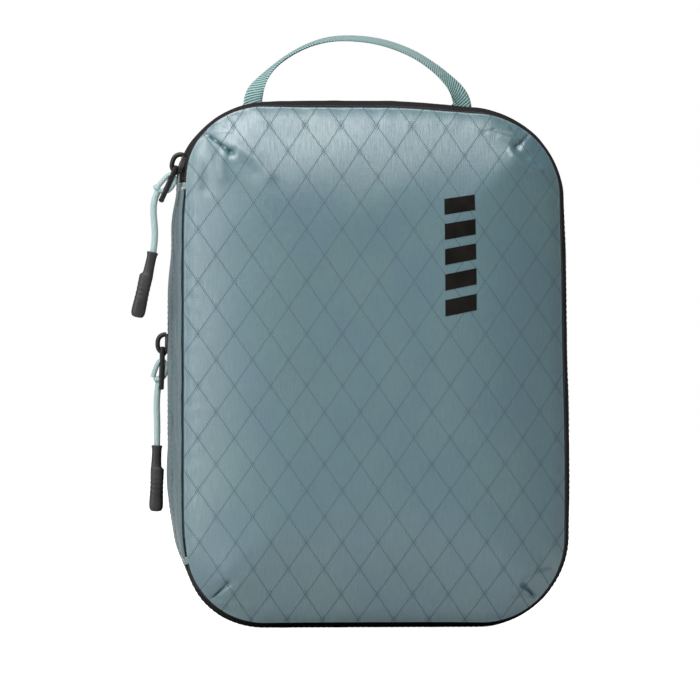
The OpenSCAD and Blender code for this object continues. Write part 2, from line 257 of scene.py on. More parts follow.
def add(name, points, faces, material, cloth, sharp=40, body=None, replaced=None, slot=None):
    """A mesh object from points in millimetres, that rides on a body and replaces a CAD node."""
    mesh = bpy.data.meshes.new(name)
    mesh.from_pydata((np.asarray(points) * MM).tolist(), [], [list(f) for f in faces])
    bm = bmesh.new()
    bm.from_mesh(mesh)
    bmesh.ops.recalc_face_normals(bm, faces=bm.faces)
    bm.to_mesh(mesh)
    bm.free()
    mesh.shade_smooth()
    mesh.set_sharp_from_angle(angle=math.radians(sharp))
    attribute = mesh.attributes.new("cloth", "FLOAT_VECTOR", "POINT")
    flat = np.zeros((len(mesh.vertices), 3), np.float32)
    flat[:, : cloth.shape[1]] = cloth
    attribute.data.foreach_set("vector", flat.ravel())
    mesh.materials.append(material)
    obj = bpy.data.objects.new(name, mesh)
    bpy.context.scene.collection.objects.link(obj)
    if body:
        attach(obj, body)
    if replaced:
        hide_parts(replaced)
    return obj


def grid_faces(rows, columns, closed_rows=False, closed_columns=False):
    """Quads between rows x columns points, in row order."""
    i = np.arange(rows if closed_rows else rows - 1)
    k = np.arange(columns if closed_columns else columns - 1)
    i, k = [x.ravel() for x in np.meshgrid(i, k, indexing="ij")]
    i2, k2 = (i + 1) % rows, (k + 1) % columns
    quads = [i * columns + k, i * columns + k2, i2 * columns + k2, i2 * columns + k]
    return [tuple(f) for f in np.stack(quads, axis=1)]


def caps(n, sides):
    """The two end faces of n rings."""
    return [tuple(range(sides)), tuple((n - 1) * sides + i for i in reversed(range(sides)))]


def tube_faces(n, sides):
    return grid_faces(n, sides, closed_columns=True) + caps(n, sides)


def repeated(faces, size, count):
    """One piece's faces, for each of its count copies of size points."""
    return [tuple(i + size * k for i in f) for k in range(count) for f in faces]


def band(name, outline, start, end, material, step=2.0, relief=None, unfolded=None, **rest):
    """A closed outline in (offset, depth) swept round the seam from start to end; its weave
    follows the depth, or the unfolded depth of a folded piece."""
    whole = end - start > around - 1
    count = int(math.ceil((end - start) / step))
    stations = np.linspace(start, end, count + 1)
    stations = stations[:-1] if whole else stations
    ring = np.array(outline, float)
    n, k = len(stations), len(ring)
    s = np.repeat(stations, k)
    o, d = np.tile(ring[:, 0], n), np.tile(ring[:, 1], n)
    cloth = np.stack([s, unfolded(d) if unfolded else d], axis=1)
    if relief:
        o, d = relief(s, o, d)
    points = on_bag(s, o, d)
    faces = grid_faces(n, k, closed_rows=whole, closed_columns=True) + ([] if whole else caps(n, k))
    return add(name, points, faces, material, cloth=cloth, **rest)


def normals_along(p):
    """Two normals carried along a path without twisting."""
    along = tangents(p)
    normal = np.cross(along[0], [0, 1, 0])
    if np.linalg.norm(normal) < 0.3:
        normal = np.cross(along[0], [1, 0, 0])
    normal /= np.linalg.norm(normal)
    normals = []
    for t in along:
        normal = normal - t * (normal @ t)
        normal /= np.linalg.norm(normal)
        normals.append(normal)
    return np.array(normals), np.cross(along, normals)


def tube(path, radius, sides, relief=None, squash=(1, 1)):
    """A tube's points in rings, its faces, and its cloth coordinates along and round it."""
    p = np.array(path, float)
    first, second = normals_along(p)
    a = np.linspace(0, 2 * math.pi, sides, endpoint=False)
    length = distances(p)
    radius = np.broadcast_to(np.asarray(radius, float), (len(p),))[:, None]
    r = radius * np.ones((1, sides))
    if relief is not None:
        r = r + relief(length[:, None], a[None, :])
    points = (
        p[:, None]
        + first[:, None] * (r * np.cos(a) * squash[0])[..., None]
        + second[:, None] * (r * np.sin(a) * squash[1])[..., None]
    )
    cloth = np.stack([length[:, None] + 0 * a[None], radius * a[None]], axis=2)
    return points.reshape(-1, 3), tube_faces(len(p), sides), cloth.reshape(-1, 2)


def patch(upper, lower, rows, columns, cloth):
    """A closed patch between two grids of rows x columns points, one over the other."""
    n = rows * columns
    top = grid_faces(rows, columns)
    under = [tuple(j + n for j in reversed(f)) for f in top]
    edge = list(range(columns)) + [columns * r + columns - 1 for r in range(1, rows)]
    edge += list(range(n - 2, n - columns - 1, -1)) + [columns * r for r in range(rows - 2, 0, -1)]
    sides = [(a, b, b + n, a + n) for a, b in zip(edge, edge[1:] + edge[:1])]
    return np.concatenate([upper, lower]), top + under + sides, np.tile(cloth, (2, 1))


def add_parts(name, parts, material, **rest):
    """One object from several (points, faces, cloth)."""
    points, faces, cloth, first = [], [], [], 0
    for p, f, c in parts:
        points.append(p)
        cloth.append(c)
        faces += [tuple(i + first for i in face) for face in f]
        first += len(p)
    return add(name, np.concatenate(points), faces, material, cloth=np.concatenate(cloth), **rest)


def thread(centres, directions, ups, length, radius):
    """One sunk stitch at each centre: a short arched thread."""
    t = np.array([-0.5, -0.42, -0.2, 0.2, 0.42, 0.5])
    lift = np.array([-0.9, 0.1, 0.45, 0.45, 0.1, -0.9]) * radius
    sides = 6
    a = np.linspace(0, 2 * math.pi, sides, endpoint=False)
    wide = np.cross(ups, directions)
    core = (
        centres[:, None]
        + directions[:, None] * (t * length)[None, :, None]
        + ups[:, None] * lift[None, :, None]
    )
    points = (
        core[:, :, None]
        + wide[:, None, None] * (radius * np.cos(a))[None, None, :, None]
        + ups[:, None, None] * (radius * np.sin(a))[None, None, :, None]
    )
    size = len(t) * sides
    faces = repeated(tube_faces(len(t), sides), size, len(centres))
    return points.reshape(-1, 3), faces, np.zeros((len(centres) * size, 2))


def stitches_along(path, ups, pitch, length, radius):
    """Stitches at an even pitch along a path of points, with the surface's normals."""
    p, up = np.array(path, float), np.array(ups, float)
    along = distances(p)
    at = np.arange(pitch / 2, along[-1], pitch)

    def value(v, t):
        return np.stack([np.interp(t, along, v[:, k]) for k in range(3)], axis=1)

    centre = value(p, at)
    direction = value(p, at + 0.4) - value(p, at - 0.4)
    direction /= np.linalg.norm(direction, axis=1)[:, None]
    u = value(up, at)
    u -= direction * np.sum(u * direction, axis=1)[:, None]
    u /= np.linalg.norm(u, axis=1)[:, None]
    return thread(centre, direction, u, length, radius)


# --- Materials ---


class Paint:
    """A new material's node tree, with short calls for its nodes."""

    def __init__(self, name, color, roughness, **sockets):
        self.material = bpy.data.materials.new(name)
        self.material.use_nodes = True
        self.tree = self.material.node_tree
        self.shader = self.tree.nodes["Principled BSDF"]
        self.shader.inputs["Base Color"].default_value = (*color, 1)
        self.shader.inputs["Roughness"].default_value = roughness
        for socket, value in sockets.items():
            self.shader.inputs[socket.replace("_", " ")].default_value = value

    def link(self, value, socket):
        if isinstance(value, bpy.types.NodeSocket):
            self.tree.links.new(value, socket)
        else:
            socket.default_value = value

    def node(self, kind, *values, **settings):
        """A new node with its first inputs given, as values or as other nodes' sockets."""
        made = self.tree.nodes.new("ShaderNode" + kind)
        for key, value in settings.items():
            setattr(made, key, value)
        for i, value in enumerate(values):
            self.link(value, made.inputs[i])
        return made

    def math(self, operation, *values):
        return self.node("Math", *values, operation=operation).outputs[0]

    def cloth(self):
        """The cloth coordinates, together and as distances along and across."""
        cloth = self.node("Attribute", attribute_name="cloth").outputs["Vector"]
        split = self.node("SeparateXYZ", cloth)
        return cloth, split.outputs[0], split.outputs[1]

    def stretched(self, vector, scale):
        made = self.node("Mapping", vector)
        made.inputs["Scale"].default_value = scale
        return made.outputs[0]

    def noise(self, vector, scale, detail, roughness):
        made = self.node("TexNoise", vector)
        made.inputs["Scale"].default_value = scale
        made.inputs["Detail"].default_value = detail
        made.inputs["Roughness"].default_value = roughness
        return made.outputs[0]

    def fit(self, value, low, high, to_low=0.0, to_high=1.0):
        """The value eased from low and high to to_low and to_high, and held there beyond them."""
        made = self.node("MapRange", value, low, high, to_low, to_high, interpolation_type="SMOOTHSTEP")
        return made.outputs[0]

    def mix(self, share, a, b):
        made = self.node("Mix", data_type="RGBA")
        self.link(share, made.inputs["Factor"])
        self.link((*a, 1) if isinstance(a, tuple) else a, made.inputs["A"])
        self.link((*b, 1) if isinstance(b, tuple) else b, made.inputs["B"])
        return made.outputs["Result"]

    def color(self, socket):
        self.link(socket, self.shader.inputs["Base Color"])

    def roughness(self, socket):
        self.link(socket, self.shader.inputs["Roughness"])

    def bump(self, height, distance, strength):
        made = self.node("Bump")
        made.inputs["Distance"].default_value = distance * MM
        made.inputs["Strength"].default_value = strength
        self.link(height, made.inputs["Height"])
        self.link(made.outputs[0], self.shader.inputs["Normal"])


def wave(paint, value, pitch):
    """0 to 1 and back once every pitch."""
    turns = paint.math("MULTIPLY", value, 2 * math.pi / pitch)
    return paint.math("MULTIPLY_ADD", paint.math("SINE", turns), 0.5, 0.5)


def off_line(paint, value):
    """Distance to the nearest whole number, 0 to 0.5."""
    part = paint.math("FRACT", value)
    return paint.math("SUBTRACT", 0.5, paint.math("ABSOLUTE", paint.math("SUBTRACT", part, 0.5)))


# The lattice on the fabric: its diamonds, the place of one crossing, and the dots of its lines
diamond_w, diamond_h = 17.5, 25.5
lattice_shift = (1.3, -8.1)
dots_per_cell = 14.0
second_row_gap = 1.15
lattice_deep = (0.0, 0.046, 0.072)


def ripstop(name, tint_a, tint_b, dots=1.0):
    """Thin coated nylon with a lattice of raised dots that crosses into diamonds."""
    paint = Paint(name, tint_a, 0.42, IOR=1.7, Specular_IOR_Level=1.0, Sheen_Weight=0.1,
                  Sheen_Roughness=0.4)
    calc, fit = paint.math, paint.fit
    vector, u, v = paint.cloth()
    across = calc("DIVIDE", calc("SUBTRACT", u, lattice_shift[0]), diamond_w)
    down = calc("DIVIDE", calc("SUBTRACT", v, lattice_shift[1]), diamond_h)
    rising, falling = calc("ADD", across, down), calc("SUBTRACT", across, down)
    steepness = math.hypot(1 / diamond_w, 1 / diamond_h)
    rows = []
    for here, other in ((rising, falling), (falling, rising)):
        # One row of dots, and a second beside it near each crossing
        gap = calc("DIVIDE", off_line(paint, here), steepness)
        near_crossing = fit(off_line(paint, other), 0.08, 0.14, 0.45, 0.0)
        first_row = fit(gap, 0.34, 0.54, 1.0, 0.0)
        second_gap = calc("ABSOLUTE", calc("SUBTRACT", gap, second_row_gap))
        second_row = calc("MULTIPLY", fit(second_gap, 0.26, 0.46, 1.0, 0.0), near_crossing)
        beat = off_line(paint, calc("MULTIPLY", other, dots_per_cell))
        rows.append(calc("MULTIPLY", calc("MAXIMUM", first_row, second_row), fit(beat, 0.2, 0.32)))
    lattice = calc("MAXIMUM", *rows)
    streaks = paint.noise(paint.stretched(vector, (2.2, 0.12, 1)), 1.0, 3.0, 0.6)
    cross_streaks = paint.noise(paint.stretched(vector, (0.1, 1.6, 1)), 1.0, 2.0, 0.5)
    cloudy = paint.noise(paint.stretched(vector, (0.035, 0.022, 1)), 1.0, 2.0, 0.5)
    mottle = paint.noise(paint.stretched(vector, (0.5, 0.32, 1)), 1.0, 3.0, 0.6)
    dark = tuple(c * 0.66 for c in tint_a)
    base = paint.mix(fit(cloudy, 0.35, 0.65), tint_a, tint_b)
    base = paint.mix(fit(streaks, 0.3, 0.75, 0.0, 0.8), base, dark)
    paint.color(paint.mix(calc("MULTIPLY", lattice, dots), base, lattice_deep))
    smooth = calc("ADD", fit(streaks, 0.3, 0.75, 0.38, 0.5), fit(mottle, 0.35, 0.7, -0.03, 0.05))
    paint.roughness(calc("ADD", smooth, calc("MULTIPLY", lattice, 0.45)))
    weave = calc("MULTIPLY_ADD", streaks, 1.1, calc("MULTIPLY", cross_streaks, 0.8))
    weave = calc("MULTIPLY_ADD", mottle, 0.9, weave)
    paint.bump(calc("MULTIPLY_ADD", lattice, 0.12 * dots, weave), 0.12, 0.6)
    return paint.material


def woven(name, color, light, rib, roughness, sheen=0.2, shine=0.5):
    """A ribbed weave: ribs across the band at the given pitch, and finer yarns along it. The ribs and
    yarns are paler and the hollows between them darker, as painted shade, over the fibres' own uneven
    tone.
    """
    paint = Paint(name, color, roughness, Sheen_Weight=sheen, Specular_IOR_Level=shine)
    calc = paint.math
    vector, u, v = paint.cloth()
    ribs, yarns = wave(paint, u, rib), wave(paint, v, rib * 0.8)
    fibres = paint.noise(vector, 2.0, 3.0, 0.6)
    weave = calc("MULTIPLY", ribs, calc("MULTIPLY_ADD", yarns, 0.4, 0.6))
    share = calc("MULTIPLY_ADD", fibres, 0.5, calc("MULTIPLY", weave, 0.6))
    paint.color(paint.mix(paint.fit(share, 0.2, 0.9), color, light))
    paint.bump(calc("ADD", weave, calc("MULTIPLY", fibres, 0.3)), 0.12, 0.7)
    return paint.material


fabric = ripstop("ripstop_nylon", (0.046, 0.128, 0.165), (0.056, 0.146, 0.16))
# The bands' nylon is a darker copy of the front's, with a fainter lattice: painted shade on the sides and
# back of the bag.
band_fabric = ripstop("ripstop_nylon_bands", (0.045, 0.1, 0.125), (0.055, 0.115, 0.13), dots=0.6)
fold_fabric = woven("fold_fabric", (0.05, 0.09, 0.1), (0.12, 0.18, 0.185), 0.9, 0.5)
pale_fabric = woven("pale_tab_fabric", (0.42, 0.46, 0.44), (0.66, 0.69, 0.66), 0.9, 0.7)
tab_fabric = woven("end_tab_fabric", (0.1, 0.16, 0.155), (0.22, 0.31, 0.3), 0.9, 0.6)
tape_cloth = woven("zip_tape_weave", (0.005, 0.005, 0.0055), (0.019, 0.016, 0.017), 0.7, 0.75,
                   sheen=0.03, shine=0.2)
binding_cloth = woven("grosgrain_binding", (0.008, 0.008, 0.009), (0.025, 0.025, 0.027), 1.0, 0.8,
                      sheen=0.03, shine=0.2)


webbing_rib = 1.35


def webbing_material():
    """Ribbed webbing: slanted pale ribs, with the gaps between them darker as painted shade."""
    paint = Paint("ribbed_webbing", (0.2, 0.38, 0.37), 0.6, Sheen_Weight=0.25)
    calc = paint.math
    vector, u, v = paint.cloth()
    ribs = wave(paint, calc("MULTIPLY_ADD", v, 0.5, u), webbing_rib)
    fibres = paint.noise(paint.stretched(vector, (1.2, 4.0, 1)), 1.0, 3.0, 0.6)
    share = calc("MULTIPLY_ADD", fibres, 0.35, calc("MULTIPLY", ribs, 0.8))
    paint.color(paint.mix(paint.fit(share, 0.15, 0.85), (0.025, 0.07, 0.07), (0.25, 0.42, 0.41)))
    paint.bump(calc("ADD", ribs, calc("MULTIPLY", fibres, 0.4)), 0.2, 0.8)
    return paint.material


def braid_material():
    """Braided cord: yarns that cross both ways round it, paler on their crowns as painted highlight and
    darker between them as painted shade.
    """
    paint = Paint("braided_cord", (0.3, 0.4, 0.4), 0.65, Sheen_Weight=0.3)
    calc, yarn = paint.math, 1.25
    vector, u, v = paint.cloth()
    one, two = wave(paint, calc("ADD", u, v), yarn), wave(paint, calc("SUBTRACT", u, v), yarn)
    crossing = calc("MAXIMUM", one, two)
    fibres = paint.noise(vector, 3.0, 3.0, 0.6)
    share = calc("MULTIPLY_ADD", fibres, 0.35, calc("MULTIPLY", crossing, 0.7))
    paint.color(paint.mix(paint.fit(share, 0.3, 0.95), (0.13, 0.22, 0.22), (0.42, 0.54, 0.54)))
    paint.bump(calc("ADD", crossing, calc("MULTIPLY", fibres, 0.5)), 0.16, 0.8)
    return paint.material


def moulded(name, color, roughness, grain, depth, metallic=0.0, shine=0.5):
    """Paint, nylon or rubber with a fine grain and a worn sheen."""
    paint = Paint(name, color, roughness, Metallic=metallic, Specular_IOR_Level=shine)
    place = paint.node("TexCoord").outputs["Object"]
    fine = paint.noise(place, grain, 3.0, 0.6)
    broad = paint.noise(place, grain / 12, 2.0, 0.5)
    light = tuple(min(1.0, c * 1.7 + 0.006) for c in color)
    paint.color(paint.mix(paint.fit(broad, 0.35, 0.75, 0.0, 0.7), color, light))
    paint.roughness(paint.fit(broad, 0.3, 0.7, roughness - 0.07, roughness + 0.09))
    paint.bump(fine, depth, 0.5)
    return paint.material


webbing = webbing_material()
braid = braid_material()
coil_nylon = moulded("coil_nylon", (0.014, 0.013, 0.014), 0.42, 900, 0.03)
slider_paint = moulded("slider_paint", (0.012, 0.012, 0.013), 0.34, 1500, 0.02, metallic=0.35)
grip_rubber = moulded("grip_rubber", (0.016, 0.016, 0.017), 0.48, 1400, 0.05)
print_ink = moulded("printed_ink", (0.003, 0.0025, 0.002), 0.6, 1200, 0.03, shine=0.12)
thread_dark = moulded("thread_dark", (0.05, 0.085, 0.095), 0.7, 2500, 0.05)
thread_pale = moulded("thread_pale", (0.5, 0.56, 0.55), 0.7, 2500, 0.05)
thread_black = moulded("thread_black", (0.01, 0.012, 0.013), 0.8, 2500, 0.05, shine=0.1)


# --- Zip pulls: cords first, as they are the free ones ---

cord_d = 3.2
# The braid's yarns stand out from a core a little thinner than the cord
core_r = cord_d / 2 - 0.06
yarn_out, yarn_turn, yarns = 0.09, 5.0, 4

# How far a slider's bail stands out from its tape
plate_out_o = 2.3
main_y = seam_y + main_zip_d
compression_y = seam_y + compression_zip_d
main_a = math.radians(parked_a)
main_reach = corner_r + main_tape_o + plate_out_o
# The left side's belly carries the compression slider this far outwards
belly_at_slider = 2.3
slider_origin = {
    "main": np.array([main_reach * math.cos(main_a) - corner_x, main_y,
                      mid_z + corner_z + main_reach * math.sin(main_a)]),
    "compression": np.array([-half_w - compression_tape_o - plate_out_o - belly_at_slider,
                             compression_y, compression_slider_z]),
}
slider_faces = {"main": main_a, "compression": math.pi}
pulls = tuple(slider_origin)


def on_slider(which, points):
    """From a slider's frame (X away from the tape, Y, Z down the zip) to the bag."""
    a = slider_faces[which]
    axes = np.array([[math.cos(a), 0, math.sin(a)], [0, 1, 0], [-math.sin(a), 0, math.cos(a)]])
    return slider_origin[which] + np.array(points, float) @ axes


def braid_relief(along, a):
    """Yarns that wind round the cord both ways."""
    twist = 2 * math.pi * along / yarn_turn
    return yarn_out * np.maximum(np.sin(yarns * a + twist), np.sin(yarns * a - twist))


# Each cord's own line, as X and Z, from the knot down into the grip
cord_route = {
    "main": [(-104.5, 216.5), (-106.2, 213), (-107.2, 209.5), (-107.5, 205), (-107.1, 200),
             (-106.7, 195), (-106.9, 190), (-107.6, 184.5), (-108.9, 178.5)],
    "compression": [(-103.1, 122.5), (-103.8, 119.5), (-104.3, 116), (-104.6, 111.5), (-104.6, 107),
                    (-104.4, 101), (-104.4, 94), (-104.5, 88), (-104.7, 82)],
}
cord_path = {which: resample(smooth_line([(x, slider_origin[which][1], z) for x, z in route], 3), 0.5)
             for which, route in cord_route.items()}


def pull_cord(which):
    path, node = cord_path[which], which + "_pull_cord"
    return add_parts(node + "_braid", [tube(path, core_r, 24, braid_relief)], braid,
                     body=which + "_cord", replaced=node, slot="pull_cord")


cords = {which: pull_cord(which) for which in pulls}

# Each tab's lean from its slider in degrees, and its length below its bar
tab_lean = {"main": 7.0, "compression": 2.0}
tab_length = {"main": 18.3, "compression": 20.3}
# The tab's bar, out from its slider's frame and down it
tab_bar = (1.3, 2.0)


def on_tab(which, points):
    """From a tab's frame (Z along the tab from its bar) to the bag."""
    a = math.radians(tab_lean[which])
    p = np.array(points, float)
    x = tab_bar[0] + p[:, 0] * math.cos(a) + p[:, 2] * math.sin(a)
    z = tab_bar[1] - p[:, 0] * math.sin(a) + p[:, 2] * math.cos(a)
    return on_slider(which, np.stack([x, p[:, 1], z], axis=1))


# The hitch's loop, as out from the tab and along it: from the nub up one side, through, and
# down the other
hitch_loop = [(4.3, 12.8), (3.9, 11), (3.3, 9), (2.5, 6.6), (1.5, 4.9), (0.2, 4.2), (-0.9, 4.7),
              (-1.9, 6.2), (-2.3, 8), (-2.0, 10.2), (-1.2, 12.2), (0.3, 13.4), (1.9, 13.9),
              (3.3, 14.2)]


def hitch(which):
    """A lark's head: the cord's doubled end loops through the tab's windows and grips itself."""
    path, node = cord_path[which], which + "_pull_knot"
    cord_half, spread, nub_r, nub_half, nub_count, sides = 1.22, 0.95, 1.5, 2.2, 13, 16
    start, ahead = path[0], path[4] - path[0]
    ahead = ahead / np.linalg.norm(ahead)
    drop = tab_length[which] - tab_length["main"]
    parts = []
    for side in (-1, 1):
        loop = [(x, side * (spread + 0.12 * math.sin(z)), z + drop) for x, z in hitch_loop]
        parts.append(tube(resample(smooth_line(on_tab(which, loop), 2), 0.4), cord_half, sides))
    # The nub arches over the loops, on the side away from the bag
    arch = np.cross(ahead, [0, 1, 0]) * 1.6
    arch *= -math.copysign(1, arch[0])
    nub = [start + np.array([0, y, 0]) + arch * (1 - (y / nub_half) ** 2) + ahead * 0.4
           for y in np.linspace(-nub_half, nub_half, nub_count)]
    taper = nub_r * np.sqrt(np.clip(1 - np.linspace(-0.93, 0.93, nub_count) ** 4, 0.05, 1))
    parts.append(tube(nub, taper, sides))
    obj = add_parts(node + "_hitch", parts, braid, replaced=node, slot="pull_cord")
    window = on_tab(which, [(1.0, 0, 6.5 + drop)])[0]
    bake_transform(obj)
    return obj


knots = {which: hitch(which) for which in pulls}

# Where each grip's neck begins as X and Z, its lean in degrees, and the side its step is on
grip_place = {"main": ((-107.8, 185), 12.5, 1), "compression": ((-104.5, 89.5), 2.0, -1)}
# Its sections: distance down, half width, half depth, and how far the middle is off the line
grip_rows = [(0.0, 1.9, 1.7, 0), (0.05, 2.5, 2.3, 0), (0.4, 2.75, 2.5, 0), (1.0, 2.72, 2.45, 0),
             (1.6, 2.5, 2.3, 0), (3.0, 2.38, 2.25, 0), (7.0, 2.45, 2.3, 0), (10.2, 2.6, 2.4, 0),
             (11.0, 2.75, 2.5, 0.1), (11.5, 3.15, 2.7, 0.45), (12.2, 3.35, 2.85, 0.6),
             (15, 3.35, 2.9, 0.6), (20, 3.3, 2.9, 0.6), (25, 3.4, 2.95, 0.6), (29, 3.5, 3.0, 0.6),
             (31, 3.4, 2.9, 0.6), (32.2, 2.95, 2.5, 0.6), (32.8, 2.2, 1.8, 0.6), (33.0, 1.0, 0.8, 0.6)]


def grip(which):
    """A moulded grip: a neck with a flared rim, a step on one side, and a full rounded end."""
    (top_x, top_z), lean, side = grip_place[which]
    a, node = math.radians(lean), which + "_pull_grip"
    down = np.array([-math.sin(a), 0, -math.cos(a)])
    wide = np.array([-math.cos(a), 0, math.sin(a)])
    top = np.array([top_x, slider_origin[which][1], top_z])
    rows = resample(grip_rows, 0.45)
    turns = np.linspace(0, 2 * math.pi, 28, endpoint=False)

    def squarish(value):
        return math.copysign(abs(value) ** 0.85, value)

    points, cloth = [], []
    for t, w, depth, shift in rows:
        ridge = 0.09 * max(0.0, math.sin(math.pi * (t - 13) / 15)) * (1 + math.sin(2 * math.pi * t / 2.4))
        for turn in turns:
            x = shift * side + squarish(math.cos(turn)) * (w - ridge)
            y = squarish(math.sin(turn)) * (depth - ridge)
            points.append(top + down * t + wide * x + np.array([0, y, 0]))
            cloth.append((t, turn))
    return add(node + "_rubber", points, tube_faces(len(rows), len(turns)), grip_rubber,
               cloth=np.array(cloth), body=which + "_cord", replaced=node, slot="grip_rubber")


grips = {which: grip(which) for which in pulls}


# --- Front panel ---

dome_h = seam_y - panel_low[1]
dome_reach = 60.0
# The extra height in the middle, and the part of the height that the rolled edge makes
crown = 1.2
edge_roll, edge_roll_w = 1.4, 7.0
mitre_r = 3.0

# How far the edge rolls out over the zip, and how much more along the bottom and at each corner
edge_reach, bottom_reach = 0.3, 0.9
corner_reach = {(1, 1): 1.1, (-1, 1): 1.0, (1, -1): 0.8, (-1, -1): 0.5}
corner_inset, corner_spread = 11.7, 30


def inset(x, z):
    """Distance inside the seam's outline."""
    qx, qz = np.abs(x) - corner_x, np.abs(z - mid_z) - corner_z
    outside = np.hypot(np.maximum(qx, 0), np.maximum(qz, 0)) + np.minimum(np.maximum(qx, qz), 0)
    return corner_r - outside


def side_of(x, z, a, b):
    """Distance along and across the line from a to b, and its length."""
    line = np.array(b, float) - np.array(a, float)
    length = np.hypot(*line)
    line /= length
    along = (x - a[0]) * line[0] + (z - a[1]) * line[1]
    across = -(x - a[0]) * line[1] + (z - a[1]) * line[0]
    return along, across, length


# Darts: where each starts at the seam, where it ends, its depth, and its pucker's size
darts = [
    ((-82.6, 243.4), (-69.7, 233.0), 2.8, 2.0),
    ((79.6, 247.9), (71.0, 240.0), 2.0, 1.9),
    ((-80.2, 14.4), (-71.2, 23.2), 2.2, 1.5),
    ((81.0, 14.1), (72.2, 21.9), 3.0, 1.4),
]

# Soft folds: the line each follows, its height (below 0 for a valley) and its width
folds = [
    ([(-67.5, 236.0), (-59.0, 230.5), (-52.0, 222.0)], 0.6, 3.4),
    ([(-70.0, 230.0), (-60.0, 224.0)], -0.5, 5.0),
    ([(-82.0, 240.0), (-81.5, 232.0), (-83.5, 216.0)], -0.8, 3.4),
    ([(-75.5, 233.0), (-75.5, 222.0)], 0.7, 3.4),
    ([(-79.5, 242.9), (-74.5, 244.0), (-70.0, 243.6)], -0.4, 0.7),
    ([(-73.5, 247.2), (-69.5, 244.4)], -0.35, 0.7),
    ([(77.6, 245.4), (70.5, 246.4), (60.5, 248.6)], -0.3, 0.7),
    ([(60.5, 248.6), (55.5, 247.0)], -0.2, 0.8),
    ([(76.0, 243.6), (64.0, 245.6)], 0.3, 1.6),
    ([(77.0, 248.2), (70.0, 249.6)], -0.7, 1.1),
    ([(69.0, 239.2), (70.2, 236.6), (74.0, 233.6), (79.0, 230.2), (84.0, 229.2)], 0.8, 1.6),
    ([(72.6, 239.2), (76.5, 236.0)], -1.0, 2.5),
    ([(76.5, 236.0), (82.0, 233.4)], -0.4, 3.2),
    ([(-69.5, 25.5), (-60.0, 34.0)], -0.4, 4.0),
    ([(-76.2, 15.0), (-68.5, 13.3)], -0.6, 1.0),
    ([(-73.5, 10.5), (-58.0, 7.5)], -0.8, 2.6),
    ([(73.6, 24.2), (77.5, 28.6), (85.4, 30.6)], -0.9, 1.4),
    ([(74.5, 28.0), (80.0, 32.8)], 0.5, 1.8),
    ([(68.5, 15.2), (73.0, 16.6), (77.6, 16.2)], -0.8, 1.2),
    ([(66.5, 18.6), (72.0, 19.6)], 0.4, 1.6),
]


def off_fold(x, z, line):
    """Distance from a fold's line."""
    nearest = np.full_like(x, 1e3)
    for a, b in zip(line, line[1:]):
        along, across, length = side_of(x, z, a, b)
        past = np.maximum(np.maximum(-along, along - length), 0)
        nearest = np.minimum(nearest, np.hypot(across, past))
    return nearest


def creases(x, z):
    """The darts' stitched valleys with their puckers, and the soft folds."""
    total = np.zeros_like(x)
    for a, b, depth, pucker in darts:
        along, across, length = side_of(x, z, a, b)
        reach = rise(along, -1.5, 1.5) * (1 - rise(along, length - 1.5, 3))
        valley_w = 0.45 + 1.1 * np.clip(along / length, 0, 1) ** 3
        total -= depth * reach * np.exp(-np.abs(across) / valley_w)
        total += 0.25 * reach * bump_at(np.abs(across), 4.5, 3.0)
        total -= depth * 0.36 * np.exp(-((along - length) ** 2 + across**2) / pucker**2)
    for line, height, width in folds:
        total += height * bump_at(off_fold(x, z, line), 0, width)
    return total


def ripples(x, z, e):
    """Loose cloth: broad waves, and small gathers beside the seam."""
    broad = (
        0.5 * np.sin(x / 17.0 + 0.6 * np.sin(z / 31.0) + 1.2)
        + 0.45 * np.sin(z / 23.0 + 0.8 * np.sin(x / 27.0) + 0.4)
        + 0.3 * np.sin((x + z) / 13.0 + 2.0)
        + 0.22 * np.sin((x - 1.4 * z) / 9.5 + 0.5)
    )
    a = np.arctan2(z - mid_z, x)
    gathers = np.sin(a * 58 + 2 * np.sin(a * 9)) + 0.6 * np.sin(a * 91 + 1.0)
    return 0.32 * broad * ease(e / 16) + 0.2 * gathers * np.exp(-e / 5.0) * ease(e / 0.8)


def seam_reach(x, z):
    """How far the panel's edge rolls out over the zip."""
    reach = edge_reach + bottom_reach * ease((22 - z) / 20)
    for (side, end), amount in corner_reach.items():
        cx, cz = side * (half_w - corner_inset), mid_z + end * (half_h - corner_inset)
        reach = reach + amount * np.exp(-((x - cx) ** 2 + (z - cz) ** 2) / corner_spread**2)
    return reach


def dome(x, z):
    """How far the panel stands in front of the seam."""
    e = inset(x, z) + seam_reach(x, z) - edge_reach
    # Deeper in, the slopes meet at a mitre, as the darts draw the corners square
    from_side, from_end = half_w - np.abs(x), half_h - np.abs(z - mid_z)
    mitre = -mitre_r * np.log(np.exp(-from_side / mitre_r) + np.exp(-from_end / mitre_r))
    reach = e + (mitre - e) * rise(e, 4, 14)
    share, roll = np.clip(reach / dome_reach, 0, 1), np.clip(e / edge_roll_w, 0, 1)
    height = edge_roll * (1 - (1 - roll) ** 2) + (dome_h - edge_roll) * (1 - (1 - share) ** 2.3)
    full = (1 - (x / half_w) ** 2) * (1 - ((z - mid_z) / half_h) ** 2)
    height = height + crown * np.clip(full, 0, 1)
    return height + ripples(x, z, e) + creases(x, z) * rise(e, -1.5, 2)


def panel(name, points, faces, facing, body, replaced, merge=0.0):
    """A sheet of fabric given as its outer face, which faces along Y with that sign, made
    thick behind it. Points closer than the merge distance become one."""
    obj = add(name, settle(points), faces, fabric, cloth=points[:, [0, 2]].copy(), sharp=75,
              body=body, replaced=replaced, slot="ripstop_fabric")
    bm = bmesh.new()
    bm.from_mesh(obj.data)
    if merge:
        bmesh.ops.remove_doubles(bm, verts=bm.verts, dist=merge * MM)
    if sum(f.normal.y * f.calc_area() for f in bm.faces) * facing < 0:
        bmesh.ops.reverse_faces(bm, faces=bm.faces)
    bm.to_mesh(obj.data)
    bm.free()
    wall = obj.modifiers.new("thickness", "SOLIDIFY")
    wall.thickness = 0.5 * MM
    wall.offset = -1


# The front panel's face stands this far in front of the seam before the dome begins
panel_lift = 0.25


